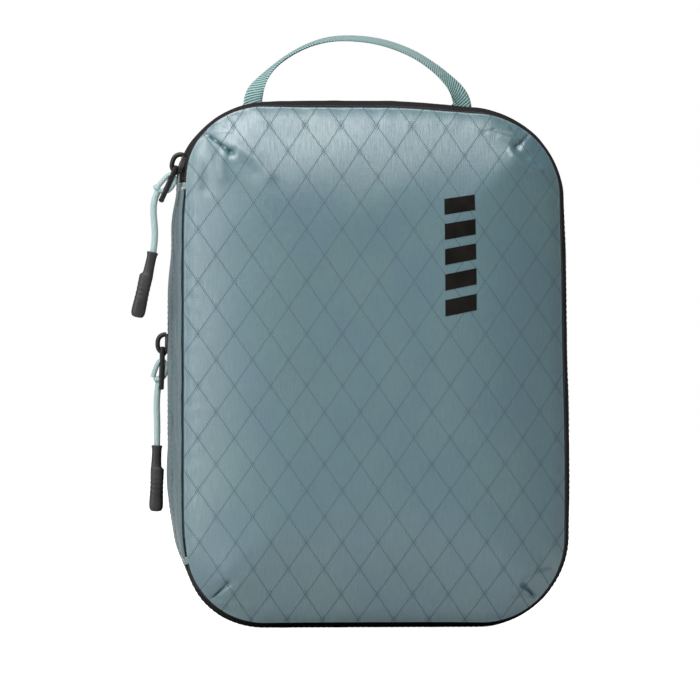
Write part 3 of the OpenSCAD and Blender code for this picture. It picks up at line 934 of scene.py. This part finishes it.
def front_panel():
    """Rings from the seam to an inner rectangle, and a grid inside that rectangle."""
    fine, coarse = 0.6, 1.9
    top_count = 2 * int(arc / 2 / fine) + int(2 * corner_x / coarse)
    side_count = 2 * int(arc / 2 / fine) + int(2 * corner_z / coarse)

    def spread(length, count):
        """Positions along one side from corner to corner, closer together in the corners."""
        marks = np.array([0, arc / 2, arc / 2 + length, arc + length])
        corner, straight = arc / 2 / fine, length / coarse
        turns = np.array([0, corner, corner + straight, arc / fine + straight])
        return np.interp(np.linspace(0, turns[-1], count, endpoint=False), turns, marks)

    first = (starts[1] + starts[2]) / 2
    bottom, side = spread(2 * corner_x, top_count), spread(2 * corner_z, side_count)
    long_way, short_way = arc + 2 * corner_z, arc + 2 * corner_x
    s = first + np.concatenate([bottom, short_way + side, short_way + long_way + bottom,
                                2 * short_way + long_way + side])
    reach = seam_reach(*rim(s, 0)[:2])
    ox, oz, _ = rim(s, reach)
    margin = 46
    inner_x, inner_z = half_w - margin, half_h - margin
    across, up = bottom / short_way * 2 - 1, side / long_way * 2 - 1
    one_x, one_z = np.ones(side_count), np.ones(top_count)
    ix = np.concatenate([across, one_x, -across, -one_x]) * inner_x
    iz = mid_z + np.concatenate([-one_z, up, one_z, -up]) * inner_z
    rows = []
    for o, d in ((-1.4, 0.1), (-0.5, 0.15), (0.0, -panel_lift)):
        x, z, _ = rim(s, reach + o)
        rows.append(np.stack([x, np.full_like(x, seam_y + d), z], axis=1))
    steps = np.concatenate([[0.4, 0.9, 1.5], np.arange(2.1, 30, 0.6), np.arange(30.8, 45, 1.4), [margin]])
    for t in steps / steps[-1]:
        x, z = ox + (ix - ox) * t, oz + (iz - oz) * t
        y = seam_y - panel_lift - np.maximum(dome(x, z), 5 * t)
        rows.append(np.stack([x, y, z], axis=1))
    ring = len(s)
    points = np.concatenate(rows)
    faces = grid_faces(len(rows), ring, closed_columns=True)
    last = (len(rows) - 1) * ring
    # The grid shares its border with the last ring
    names = np.zeros((side_count + 1, top_count + 1), int)
    names[0, :top_count] = last + np.arange(top_count)
    names[:side_count, top_count] = last + top_count + np.arange(side_count)
    names[side_count, :0:-1] = last + top_count + side_count + np.arange(top_count)
    names[:0:-1, 0] = last + 2 * top_count + side_count + np.arange(side_count)
    gx, gz = np.meshgrid(np.append(across, 1)[1:-1] * inner_x,
                         mid_z + np.append(up, 1)[1:-1] * inner_z)
    names[1:-1, 1:-1] = len(points) + np.arange(gx.size).reshape(gx.shape)
    gx, gz = gx.ravel(), gz.ravel()
    inner = np.stack([gx, seam_y - panel_lift - dome(gx, gz), gz], axis=1)
    quads = np.stack([names[:-1, :-1], names[:-1, 1:], names[1:, 1:], names[1:, :-1]], axis=2)
    faces += [tuple(f) for f in quads.reshape(-1, 4)]
    panel("front_panel_shell", np.concatenate([points, inner]), faces, -1, "lid", "front_panel")


front_panel()


def panel_point(x, z, lift):
    """Points just off the front panel's outer face."""
    x, z = np.asarray(x, float), np.asarray(z, float)
    y = seam_y - panel_lift - dome(x, z) - lift
    return settle(np.stack([x, y, z], axis=1))


def dart_stitching():
    """A row of black stitches down the first three quarters of each dart; the black is partly the real
    thread and partly painted shade that darkens each dart's line.
    """
    parts = []
    for a, b, _, _ in darts:
        t = np.linspace(0.0, 0.75, 30)
        x = a[0] + (b[0] - a[0]) * t
        z = a[1] + (b[1] - a[1]) * t
        path = panel_point(x, z, 0.05)
        ups = np.tile([0.0, -1.0, 0.0], (len(path), 1))
        parts.append(stitches_along(path, ups, pitch=2.0, length=1.5, radius=0.17))
    add_parts("dart_stitching", parts, thread_black, body="lid", slot="ripstop_fabric")


dart_stitching()


def printed_mark():
    """Five plain slanted bars, printed on the panel."""
    width, height, pitch, slant = 15.4, 8.0, 12.6, 1.6
    centre_x, centre_z = 41.8, 184.0
    rows, columns = 9, 14
    proud, sunk = 0.14, -0.1
    u, v = np.meshgrid(np.linspace(-1, 1, columns), np.linspace(-1, 1, rows))
    x = centre_x + u.ravel() * width / 2
    parts = []
    for i in range(-2, 3):
        z = centre_z + i * pitch + v.ravel() * height / 2 + u.ravel() * slant
        parts.append(patch(panel_point(x, z, proud), panel_point(x, z, sunk), rows, columns,
                           np.stack([x, z], axis=1)))
    add_parts("printed_mark_bars", parts, print_ink, body="lid", replaced="printed_mark", slot="print")


printed_mark()


# --- Zips ---

tape_t = 0.55
tape_gap = 0.18
coil_pitch = 1.4


def front_tape_line(o, d, seam_o, seam_d):
    return [(seam_o, seam_d + 0.25), (o, seam_d + 2.5), (o, d - tape_gap)]


def rear_tape_line(o, d, seam_o, seam_d):
    return [(o, d + tape_gap), (o, seam_d - 2.5), (seam_o, seam_d)]


# Each zip's line, as its offset and its depth
zip_line = {"main": (main_tape_o, main_zip_d), "compression": (compression_tape_o, compression_zip_d)}


def tape(node, line, start, end, body, phase=0.0, name=None):
    """A zip tape in the place of a CAD node, a little wavy along its length."""
    outline = skin(resample(smooth_line(line, 2), 0.8), tape_t)

    def wavy(s, o, d):
        return o + 0.07 * np.sin(s / 4.1 + phase) + 0.05 * np.sin(s / 2.3 + 2 * phase), d

    return band(name or node + "_weave", outline, start, end, tape_cloth, step=1.6, relief=wavy,
                body=body, replaced=node, slot="zip_tape")


def coil(node, start, end, side, body, phase=0.0):
    """The coil's teeth, under the tape: each loop drops from it, crosses over and hooks back up."""
    o, d = zip_line[node.split("_")[0]]
    first = math.ceil(start / coil_pitch)
    count = int((end - start) / coil_pitch)
    s = (first + np.arange(count) + phase) * coil_pitch
    path = np.array([(o - 0.1, d + side * 2.0), (o - 0.75, d + side * 1.95), (o - 1.05, d + side * 1.3),
                     (o - 1.05, d + side * 0.3), (o - 0.8, d - side * 0.45), (o - 0.3, d - side * 0.5)])
    slant = np.array([-0.16, -0.1, -0.05, 0.02, 0.05, 0.05])
    radius = np.array([0.28, 0.31, 0.31, 0.31, 0.33, 0.26])
    normal = left_of(tangents(path))
    sides = 6
    a = np.linspace(0, 2 * math.pi, sides, endpoint=False)
    shape = (len(s), len(path), sides)
    ps = s[:, None, None] + slant[None, :, None] + (radius[:, None] * np.cos(a))[None]
    lift = (radius[:, None] * np.sin(a))[None]
    po = path[None, :, None, 0] + normal[None, :, None, 0] * lift
    pd = path[None, :, None, 1] + normal[None, :, None, 1] * lift
    ps, po, pd = [np.broadcast_to(v, shape).ravel() for v in (ps, po, pd)]
    faces = repeated(tube_faces(len(path), sides), len(path) * sides, len(s))
    add(node.removesuffix("coil") + "teeth", on_bag(ps, po, pd), faces, coil_nylon,
        cloth=np.stack([ps, pd], axis=1), body=body, replaced=node, slot="zip_coil")


main_front = front_tape_line(main_tape_o, main_zip_d, 0, 0)
main_rear = rear_tape_line(main_tape_o, main_zip_d, bulge, gusset_d)
compression_front = front_tape_line(compression_tape_o, compression_zip_d, bulge, gusset_end_d)
compression_rear = rear_tape_line(compression_tape_o, compression_zip_d, bulge, rear_band_d)

lid_start, lid_end = s_lower_left(lower_end_a + 1), s_upper_left(upper_end_a - 1)
upper_teeth_end = s_upper_left(upper_stop_a - 1)
tape("main_zip_front_tape", main_front, lid_start, lid_end, "lid")
coil("main_zip_front_coil", lid_start, lid_end, -1, "lid")
tape("main_zip_rear_tape", main_rear, 0, around, "bag_body", 1.0)
coil("main_zip_rear_coil", s_lower_left(lower_end_a), upper_teeth_end, 1, "bag_body", 0.5)

# The two stretches of the front tape that stay with the body beside the zip's ends
end_line = [(0.1, 0.6), (main_tape_o, 2.7), (main_tape_o, main_zip_d - tape_gap)]
tape("main_zip_end_tapes", end_line, s_upper_left(upper_end_a), starts[8], "bag_body",
     name="main_zip_upper_end_tape")
tape("main_zip_end_tapes", end_line, starts[1], s_lower_left(lower_end_a), "bag_body",
     name="main_zip_lower_end_tape")
coil("main_zip_end_coil", s_upper_left(upper_end_a), upper_teeth_end, -1, "bag_body")

tape("compression_zip_front_tape", compression_front, 0, around, "bag_body", 2.0)
coil("compression_zip_front_coil", 0, around, -1, "bag_body")
open_start = s_left(compression_end_z[0] - 0.5)
open_end = around + mid_z - compression_end_z[1] - 0.5
tape("compression_zip_rear_tape", compression_rear, open_start, open_end, "rear_shell", 3.0)
coil("compression_zip_rear_coil", open_start, open_end, 1, "rear_shell", 0.5)


def compression_end():
    """The zip's fixed end: its rear tape joins the body to the back, built in place between them."""
    low, high = compression_end_z
    start, end = around + mid_z - high, around + mid_z - low
    obj = tape("compression_zip_end_tape", compression_rear, start, end, None)
    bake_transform(obj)
    coil("compression_zip_end_coil", start, around + mid_z - compression_slider_z + 5.7, 1,
         "bag_body", 0.5)


compression_end()


def rounded_end(s, start, length):
    """0 at the ends of a short strip, easing up to 1 along a quarter circle."""
    ends = np.clip(np.minimum(s - start, start + length - s) / 0.7, 0, 1)
    return 1 - (1 - ends) ** 2


def stop(name, node, which, start, length):
    """A small rounded metal block bent over the tape."""
    half_d, height = 1.9, 1.25
    o, d = zip_line[which]
    line = [(o, d - half_d), (o + height * 0.8, d - half_d - 0.1), (o + height, d - half_d * 0.7),
            (o + height, d + half_d * 0.7), (o + height * 0.8, d + half_d + 0.1), (o, d + half_d)]

    def rounded(s, po, pd):
        share = np.sqrt(np.clip(rounded_end(s, start, length), 0.05, 1))
        return o + (po - o) * (0.55 + 0.45 * share), pd

    band(name, resample(smooth_line(line, 2), 0.5), start, start + length, slider_paint, step=0.3,
         relief=rounded, body="bag_body", replaced=node, slot="slider_metal")


stop_length = math.radians(2) * corner_r
stop("main_zip_upper_stop", "main_zip_stops", "main", s_upper_left(upper_stop_a), stop_length)
stop("main_zip_lower_stop", "main_zip_stops", "main", s_lower_left(lower_end_a - 3), stop_length)
stop("compression_zip_stop_block", "compression_zip_stop", "compression", s_left(134), 2.0)


def end_tab(node, start, length, line, material, stitch_at, slot):
    """A strip of fabric folded over the zip's end, with a row of pale zigzag stitches at that
    share of its length."""
    centre = resample(smooth_line(line, 2), 0.7)

    def rounded(s, o, d):
        return o - 0.4 * (1 - np.sqrt(rounded_end(s, start, length))), d

    band(node + "_fold", skin(centre, 0.9), start, start + length, material, step=0.3,
         relief=rounded, body="bag_body", replaced=node, slot=slot)
    count = 9
    at = np.linspace(2, len(centre) - 3, count)
    o, d = [np.interp(at, np.arange(len(centre)), centre[:, k]) for k in (0, 1)]
    s = start + length * stitch_at + 0.5 * np.where(np.arange(count) % 2, 1, -1)
    path = on_bag(s, o + 0.1, d)
    centres, directions = (path[1:] + path[:-1]) / 2, path[1:] - path[:-1]
    lengths = np.linalg.norm(directions, axis=1)
    directions /= lengths[:, None]
    zigzag = thread(centres, directions, outward(s)[:-1], lengths.mean() * 1.05, 0.17)
    add_parts(node + "_fold_stitches", [zigzag], thread_pale, body="bag_body", slot="pale_fabric")


over_main_zip = [(0.3, 0.3), (main_tape_o + 0.7, 2.4), (main_tape_o + 0.9, main_zip_d + 1),
                 (bulge, gusset_d - 1.5), (bulge + 0.6, gusset_d)]
over_compression_zip = [(compression_tape_o + o, compression_zip_d + d)
                        for o, d in ((0.5, -4.4), (1.1, -3.6), (1.1, 3.6), (0.5, 4.4))]
end_tab("upper_zip_end_tab", s_upper_left(upper_tab_a), 3.4, over_main_zip, tab_fabric, 0.85,
        "fold_fabric")
end_tab("lower_zip_end_tab", s_lower_left(lower_tab_a), 3.4, over_main_zip, tab_fabric, 0.25,
        "fold_fabric")
end_tab("compression_zip_end_tab", s_left(131.6), 3.6, over_compression_zip, pale_fabric, 0.5,
        "pale_fabric")


# --- Fabric bands ---

fabric_t = 0.6


def gusset_relief(s, o, d):
    """The gusset bellies out and ripples, but stays flat where the bag stands on it."""
    _, _, a = rim(s, 0)
    gusset_w = gusset_end_d - gusset_d
    off_floor = rise(np.sin(a), -0.95, 0.5)
    middle = np.sin(math.pi * np.clip((d - gusset_d) / gusset_w, 0, 1))
    waves = 0.35 * np.sin(s / 6.3 + 0.2 * d) + 0.3 * np.sin(s / 11.0 - 0.15 * d + 1.0)
    left = ease(-np.cos(a)) * bump_at(d, gusset_d + 9, 12)
    drawn_in = 1.9 * rise(np.sin(a), 0, 0.5) * rise(d, gusset_d, 3)
    return o - drawn_in + middle * off_floor * ((0.9 + waves) * 0.8 + 0.3 * left), d


gusset_line = resample([(bulge, gusset_d), (bulge, gusset_end_d)], 1.6)
band("mid_gusset_fabric", skin(gusset_line, fabric_t), 0, around, band_fabric, relief=gusset_relief,
     body="bag_body", replaced="mid_gusset", slot="ripstop_fabric")


def spine_relief(s, o, d):
    """Soft waves in the middle of the spine."""
    ends = np.sin(math.pi * np.clip((d - 3) / 12, 0, 1))
    return o + ends * (0.25 * np.sin(s / 7.0 + d * 0.3) + 0.2 * np.sin(s / 3.9 + 1.0)), d


spine_line = [(0, 0.5), (-0.8, 1.4), (1.3, 3.2), (3.6, 8), (bulge, gusset_d)]
spine_line = resample(smooth_line(spine_line, 2), 0.8)
spine_start, spine_end = around - corner_z, around + s_lower_left(spine_end_a)
band("spine_panel_fabric", skin(spine_line, fabric_t), spine_start, spine_end, band_fabric,
     relief=spine_relief, body="bag_body", replaced="spine_panel", slot="ripstop_fabric")


def fold_strip():
    """The folded edge that runs down the spine as a soft piping."""
    turns = np.linspace(0, 2 * math.pi, 14, endpoint=False)
    outline = [(2.1 + 0.75 * math.cos(t) + 0.4 * math.sin(t), 3.1 + 1.5 * math.sin(t)) for t in turns]

    def uneven(s, o, d):
        return o + 0.1 * np.sin(s / 5.2) + 0.06 * np.sin(s / 2.1 + 1), d + 0.15 * np.sin(s / 8.7)

    band("spine_fold_piping", outline, spine_start, spine_end, fold_fabric, relief=uneven,
         body="bag_body", replaced="spine_fold_strip", slot="fold_fabric")


fold_strip()

rear_line = resample([(bulge, rear_band_d), (bulge, back_d - 1)], 1.0)
band("rear_band_fabric", skin(rear_line, fabric_t), 0, around, band_fabric,
     body="rear_shell", replaced="rear_band", slot="ripstop_fabric")


def row_of_stitches(name, d, relief, body):
    """A row of stitches all round, just proud of the fabric's own relief."""
    s = np.arange(0, around, 1.4)
    o, d = relief(s, np.full(len(s), bulge), np.full(len(s), d))
    stitches = stitches_along(on_bag(s, o - 0.02, d), outward(s), pitch=2.8, length=2.0, radius=0.14)
    add_parts(name, [stitches], thread_dark, body=body, slot="ripstop_fabric")


def no_relief(s, o, d):
    return o, d


row_of_stitches("gusset_front_stitching", gusset_d + 1.6, gusset_relief, "bag_body")
row_of_stitches("gusset_rear_stitching", gusset_end_d - 1.6, gusset_relief, "bag_body")
row_of_stitches("rear_band_stitching", rear_band_d + 1.5, no_relief, "rear_shell")


def bound_seam(name, node, o1, d0, d1, body):
    """A seam allowance inside, from an offset inwards, wrapped in folded binding."""
    o0 = o1 - 3.2
    mid, half = (d0 + d1) / 2, (d1 - d0) / 2
    line = [(o1, mid - half * 0.6), (o0 + 0.8, mid - half), (o0, mid - half * 0.5),
            (o0, mid + half * 0.5), (o0 + 0.8, mid + half), (o1, mid + half * 0.6)]

    def uneven(s, o, d):
        free = np.clip((o1 - o) / (o1 - o0), 0, 1)
        return o + 0.12 * free * np.sin(s / 4.0), d + 0.15 * free * np.sin(s / 6.0 + 1)

    band(name, resample(smooth_line(line, 2), 0.5), 0, around, binding_cloth, step=1.8,
         relief=uneven, body=body, replaced=node, slot="binding")


inner_o = bulge - 1
bound_seam("gusset_front_bound_seam", "gusset_front_binding", inner_o, gusset_d + 0.3,
           gusset_d + 1.5, "bag_body")
bound_seam("gusset_rear_bound_seam", "gusset_rear_binding", inner_o, gusset_end_d - 1.5,
           gusset_end_d - 0.3, "bag_body")
bound_seam("front_bound_seam", "front_seam_binding", -1.1, 0.3, 1.4, "lid")
bound_seam("back_bound_seam", "back_seam_binding", inner_o, back_d - 2.5, back_d - 1.3, "rear_shell")

# How far the back moves out
expansion = 35.0


def expansion_gusset():
    """The folded ring behind the closed compression zip, built closed, with its weave laid as when it
    opens out as the back moves.
    """
    inner, slack_in = compression_tape_o - 1.1, 0.2
    front, rear = gusset_end_d, rear_band_d
    line = [(inner, front + 0.5), (slack_in, front + 3.0), (-2.9, compression_zip_d),
            (slack_in, rear - 3.0), (inner, rear - 0.5)]
    outline = skin(resample(smooth_line(line, 1), 1.0), fabric_t)

    def folds_in(s, o, d):
        share = np.sin(math.pi * np.clip((d - front) / (rear - front), 0, 1))
        return o - share * (0.35 + 0.3 * np.sin(s / 7.7) + 0.2 * np.sin(s / 4.3 + 1)), d

    def unfolded(d):
        return d + expansion * rise(d, front, rear - front)

    obj = band("expansion_gusset_fabric", outline, 0, around, band_fabric, relief=folds_in,
               unfolded=unfolded, replaced="expansion_gusset", slot="ripstop_fabric")
    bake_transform(obj)


expansion_gusset()


def back_panel():
    """The flat back, slightly slack inside its welt."""
    columns = 400
    s = np.linspace(0, around, columns, endpoint=False)
    welt_w = 2.2
    rows = []
    for o, drop in ((0, 0.0), (-0.3, 0.5), (-1.2, 0.75), (-welt_w, 0.7)):
        ox, oz, _ = rim(s, bulge + o)
        rows.append(np.stack([ox, np.full_like(ox, seam_y + back_d - 1 + drop), oz], axis=1))
    # Rings shrink towards an upright line down the middle
    hz = mid_z + (oz - mid_z) * (half_h - half_w) / half_h
    for t in np.linspace(0, 1, 44)[1:]:
        x, z = ox * (1 - t), oz + (hz - oz) * t
        slack = 0.25 * np.sin(x / 13 + 1) * np.sin(z / 19) + 0.1 * np.sin((x + z) / 7)
        slack = slack * ease(t / 0.2) - 0.15
        rows.append(np.stack([x, seam_y + back_d - 0.3 + np.minimum(slack, 0.25), z], axis=1))
    panel("back_panel_fabric", np.concatenate(rows), grid_faces(len(rows), columns, closed_columns=True),
          1, "rear_shell", "back_panel", merge=0.02)


back_panel()


# --- Handle ---

handle_low, handle_high = box_mm("handle_webbing")
handle_y = (handle_low[1] + handle_high[1]) / 2
handle_base_z = handle_low[2]


handle_ends_x = (-58.4, 45.9)
# X, Z above the base, and the turn of the webbing's face away from the top edge, in degrees
handle_route = [
    (-58.4, -5.6, 84), (-58.0, -1.6, 78), (-57.0, 2.0, 64), (-55.2, 5.6, 44), (-52.6, 9.4, 24),
    (-48.9, 13.6, 11), (-44.3, 17.6, 6), (-37.5, 22.1, 7), (-29.9, 25.8, 10), (-20.9, 28.4, 15),
    (-11.0, 29.1, 18), (1.1, 28.1, 21), (11.7, 25.4, 24), (22.9, 20.7, 26), (33.2, 13.6, 31),
    (39.6, 7.5, 43), (43.2, 2.9, 60), (45.1, -1.2, 76), (45.9, -5.6, 84)]


def handle():
    """Webbing that faces forward at its ends and twists edge-on over the left shoulder."""
    line = resample(smooth_line(handle_route, 2), 0.34)
    flat = np.stack([line[:, 0], line[:, 1] + handle_base_z], axis=1)
    along = tangents(flat)
    along[:6], along[-6:] = (0, 1), (0, -1)
    normal, length = left_of(along), distances(flat)
    half_width, half_t, rib_depth, curl = 4.6, 0.6, 0.13, 0.25
    u = np.linspace(-1, 1, 15)
    edge = half_t * np.sqrt(np.clip(1 - np.abs(u) ** 6, 0, 1))
    # The section, as distance across, thickness, and share of the half width
    section = [(w * half_width, t, w) for w, t in zip(u, edge)]
    section += [(w * half_width, -t, w) for w, t in zip(u[::-1], edge[::-1])][1:-1]
    points, cloth = [], []
    for (x, z), (nx, nz), turn, far in zip(flat, normal, np.radians(line[:, 2]), length):
        for w, t, share in section:
            rib = rib_depth * math.sin(2 * math.pi * (far + share * 0.5) / webbing_rib)
            thick = t + math.copysign(rib, t) * (1 - share**6) if abs(t) > 1e-6 else t
            thick += curl * share * share
            across = w * math.sin(turn) + thick * math.cos(turn)
            deep = w * math.cos(turn) - thick * math.sin(turn)
            points.append((x + nx * across, handle_y + deep, z + nz * across))
            cloth.append((far, w))
    strap = add("handle_webbing_strap", points, tube_faces(len(flat), len(section)), webbing,
                cloth=np.array(cloth), sharp=60, replaced="handle_webbing", slot="webbing")
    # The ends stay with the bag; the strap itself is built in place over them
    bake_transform(strap)


handle()


def handle_anchor_patches():
    """The webbing's ends, folded flat on the gusset and tacked with a stitched box."""
    half_width, near, far, count = 4.6, 0.4, 9.0, 13
    under, thread_o = 0.05, 0.9
    box = [(-3.8, 1.2), (3.8, 1.2), (3.8, 7.8), (-3.8, 7.8), (-3.8, 1.2), (3.8, 7.8)]
    u, v = np.meshgrid(np.linspace(-half_width, half_width, count), np.linspace(near, far, count))
    u, v = u.ravel(), v.ravel()
    top = 0.8 + 0.05 * np.sin(u * 4.6) - 0.35 * rise(np.abs(u), 4.0, 0.6)
    walk = resample(box, 0.7)
    parts, threads = [], []
    for x in handle_ends_x:

        def on_gusset(across, back, o):
            s = starts[6] + (corner_x - (x + across))
            return on_bag(s, bulge + o, handle_y - seam_y + back)

        parts.append(patch(on_gusset(u, v, top), on_gusset(u, v, under), count, count,
                           np.stack([v, u], axis=1)))
        path = on_gusset(walk[:, 0], walk[:, 1], thread_o)
        up = outward(starts[6] + (corner_x - (x + walk[:, 0])))
        threads.append(stitches_along(path, up, pitch=1.5, length=1.2, radius=0.2))
    add_parts("handle_anchor_webbing", parts, webbing, body="bag_body", replaced="handle_anchors",
              slot="webbing")
    add_parts("handle_anchor_stitches", threads, thread_pale, body="bag_body", slot="webbing")


handle_anchor_patches()


# --- Sliders and tabs ---


# Sections of the slider, as height over its wedge and inset from its outline
upper_plate = [(1.42, 0.35), (1.42, 0.05), (1.5, 0), (2.05, 0), (2.25, 0.12), (2.36, 0.4), (2.4, 1.0)]
lower_plate = [(-2.1, 0.6), (-2.05, 0.4), (-1.9, 0.3), (-1.45, 0.3), (-1.35, 0.5)]
flange = [(0.35, 0.12), (0.42, 0.0), (1.6, 0.0), (1.6, 0.7), (0.42, 0.7), (0.35, 0.55)]


def slider_body(which):
    """Two waisted plates joined by a wedge, with flanges that turn down beside the coil."""
    half_l, base = 5, -plate_out_o
    z = np.linspace(-half_l, half_l, 23)
    half = 2.6 + 2.0 * rise(z, -half_l, 7.5) - 1.7 * rise(z, 3.6, 1.5)
    half = np.minimum(np.maximum(half - 1.1 * rise(-z, 3.9, 1.1), 1.2), 4.6)

    def solid(rings):
        points = np.concatenate(rings)
        return points, tube_faces(len(rings), len(rings[0])), np.zeros((len(points), 2))

    def plate(section):
        rings = []
        for height, inside in section:
            w, zz = np.maximum(half - inside, 0.2), z * (half_l - inside) / half_l
            sides = [np.stack([np.full_like(w, base + height), way * w, zz], axis=1) for way in (1, -1)]
            rings.append(np.concatenate([sides[0], sides[1][::-1]]))
        return solid(rings)

    parts = [plate(upper_plate), plate(lower_plate)]
    for way in (-1, 1):
        rings = [[(base + height, way * (w - inside), at) for height, inside in flange]
                 for w, at in zip(half, z)]
        parts.append(solid(rings))
    wedge = [[(base + 1.5 * h, way * w, at) for h, way in ((-1, -1), (-1, 1), (1, 1), (1, -1))]
             for w, at in ((0.25, 1), (0.5, 4))]
    parts.append(solid(wedge))
    parts = [(on_slider(which, points), faces, cloth) for points, faces, cloth in parts]
    add_parts(which + "_slider_plates", parts, slider_paint, sharp=45, body=which + "_slider",
              replaced=which + "_slider_body", slot="slider_metal")


def slider_bail(which):
    """The D-shaped loop on the slider that the tab hangs from."""
    reach, half_l = 3.75, 4.6
    t = np.linspace(-0.12, math.pi + 0.12, 33)
    z = -half_l * np.sign(np.cos(t)) * np.abs(np.cos(t)) ** 0.8
    path = np.stack([reach * np.sin(t), 0 * t, z], axis=1)
    points, faces, cloth = tube(path, 1.18, 14, squash=(1.0, 1.2))
    add(which + "_slider_bail", on_slider(which, points), faces, slider_paint, cloth=cloth, sharp=60,
        body=which + "_slider", replaced=which + "_slider_bridge", slot="slider_metal")


def pull_tab(which):
    """A moulded ladder: a rounded frame with bars across for the bail and the cord."""
    end, half, r, sides = tab_length[which], 2.55, 1.5, 14
    deeper = 0.85
    corner = np.linspace(0, math.pi / 2, 7)
    loop = [(0, half - 0.2)]
    loop += [(end - r + r * math.sin(t), half - r + r * math.cos(t)) for t in corner]
    loop += [(end - r + r * math.cos(t), r - half - r * math.sin(t)) for t in corner]
    loop += [(0, 0.2 - half)]
    frame_line = resample([(0.0, w, z) for z, w in loop], 0.5)
    frame_line[:, 1] *= 1 - 0.06 * np.sin(math.pi * frame_line[:, 2] / end)
    parts = [tube(on_tab(which, frame_line), 0.68, sides)]
    for z, bar_r in ((0.0, 0.65), (end - 12.4, 0.8), (end - 6.2, 0.8), (end - 0.4, 0.75)):
        bar = resample([(0, -half - 0.3, z), (0, half + 0.3, z)], 0.4)
        parts.append(tube(on_tab(which, bar), bar_r, sides))
    # The frame is thicker through than it is wide
    flat = on_tab(which, [(0, 0, 0), (1, 0, 0)])
    out = flat[1] - flat[0]
    parts = [(points + np.outer((points - flat[0]) @ out * deeper, out), faces, cloth)
             for points, faces, cloth in parts]
    add_parts(which + "_tab_ladder", parts, slider_paint, sharp=60, body=which + "_tab",
              replaced=which + "_pull_tab", slot="slider_metal")


for which in pulls:
    slider_body(which)
    slider_bail(which)
for which in pulls:
    pull_tab(which)


# --- Floor and light ---


def floor():
    """A plain floor that the camera sees as white."""
    size, below = 6.0, -0.0002
    mesh = bpy.data.meshes.new("floor")
    mesh.from_pydata([(-size, -size, 0), (size, -size, 0), (size, size, 0), (-size, size, 0)], [],
                     [(0, 1, 2, 3)])
    paint = Paint("floor_paint", (0.65, 0.65, 0.65), 0.95, Emission_Color=(1, 1, 1, 1))
    seen = paint.node("LightPath").outputs["Is Camera Ray"]
    paint.link(seen, paint.shader.inputs["Emission Strength"])
    mesh.materials.append(paint.material)
    obj = bpy.data.objects.new("floor", mesh)
    bpy.context.scene.collection.objects.link(obj)
    obj.location.z = below


floor()


def studio():
    """A white studio that lights the object no more than a dim room does."""
    world = bpy.data.worlds.new("studio")
    world.use_nodes = True
    tree = world.node_tree
    room = tree.nodes["Background"]
    white, mix = tree.nodes.new("ShaderNodeBackground"), tree.nodes.new("ShaderNodeMixShader")
    seen = tree.nodes.new("ShaderNodeLightPath")
    tree.links.new(seen.outputs["Is Camera Ray"], mix.inputs[0])
    tree.links.new(room.outputs[0], mix.inputs[1])
    tree.links.new(white.outputs[0], mix.inputs[2])
    tree.links.new(mix.outputs[0], tree.nodes["World Output"].inputs[0])
    for node, strength in ((room, 0.3), (white, 1.0)):
        node.inputs["Color"].default_value = (1, 1, 1, 1)
        node.inputs["Strength"].default_value = strength
    bpy.context.scene.world = world


studio()


def softbox(name, place, target, size, power):
    data = bpy.data.lights.new(name, "AREA")
    data.shape = "RECTANGLE"
    data.size, data.size_y = size
    data.energy = power
    light = bpy.data.objects.new(name, data)
    bpy.context.scene.collection.objects.link(light)
    light.location = place
    light.rotation_mode = "QUATERNION"
    light.rotation_quaternion = (Vector(target) - Vector(place)).to_track_quat("-Z", "Y")


softbox("key_overhead_left", (-0.38, -0.7, 1.2), (0, -0.02, 0.15), (1.2, 1.15), 22)
softbox("fill_left", (-1.3, -0.65, 0.36), (0, 0, 0.1), (1.1, 1.5), 12)
softbox("soft_behind", (0.7, 1.5, 0.9), (0, 0.02, 0.14), (1.0, 1.0), 7)

bpy.context.scene.view_settings.view_transform = "Standard"
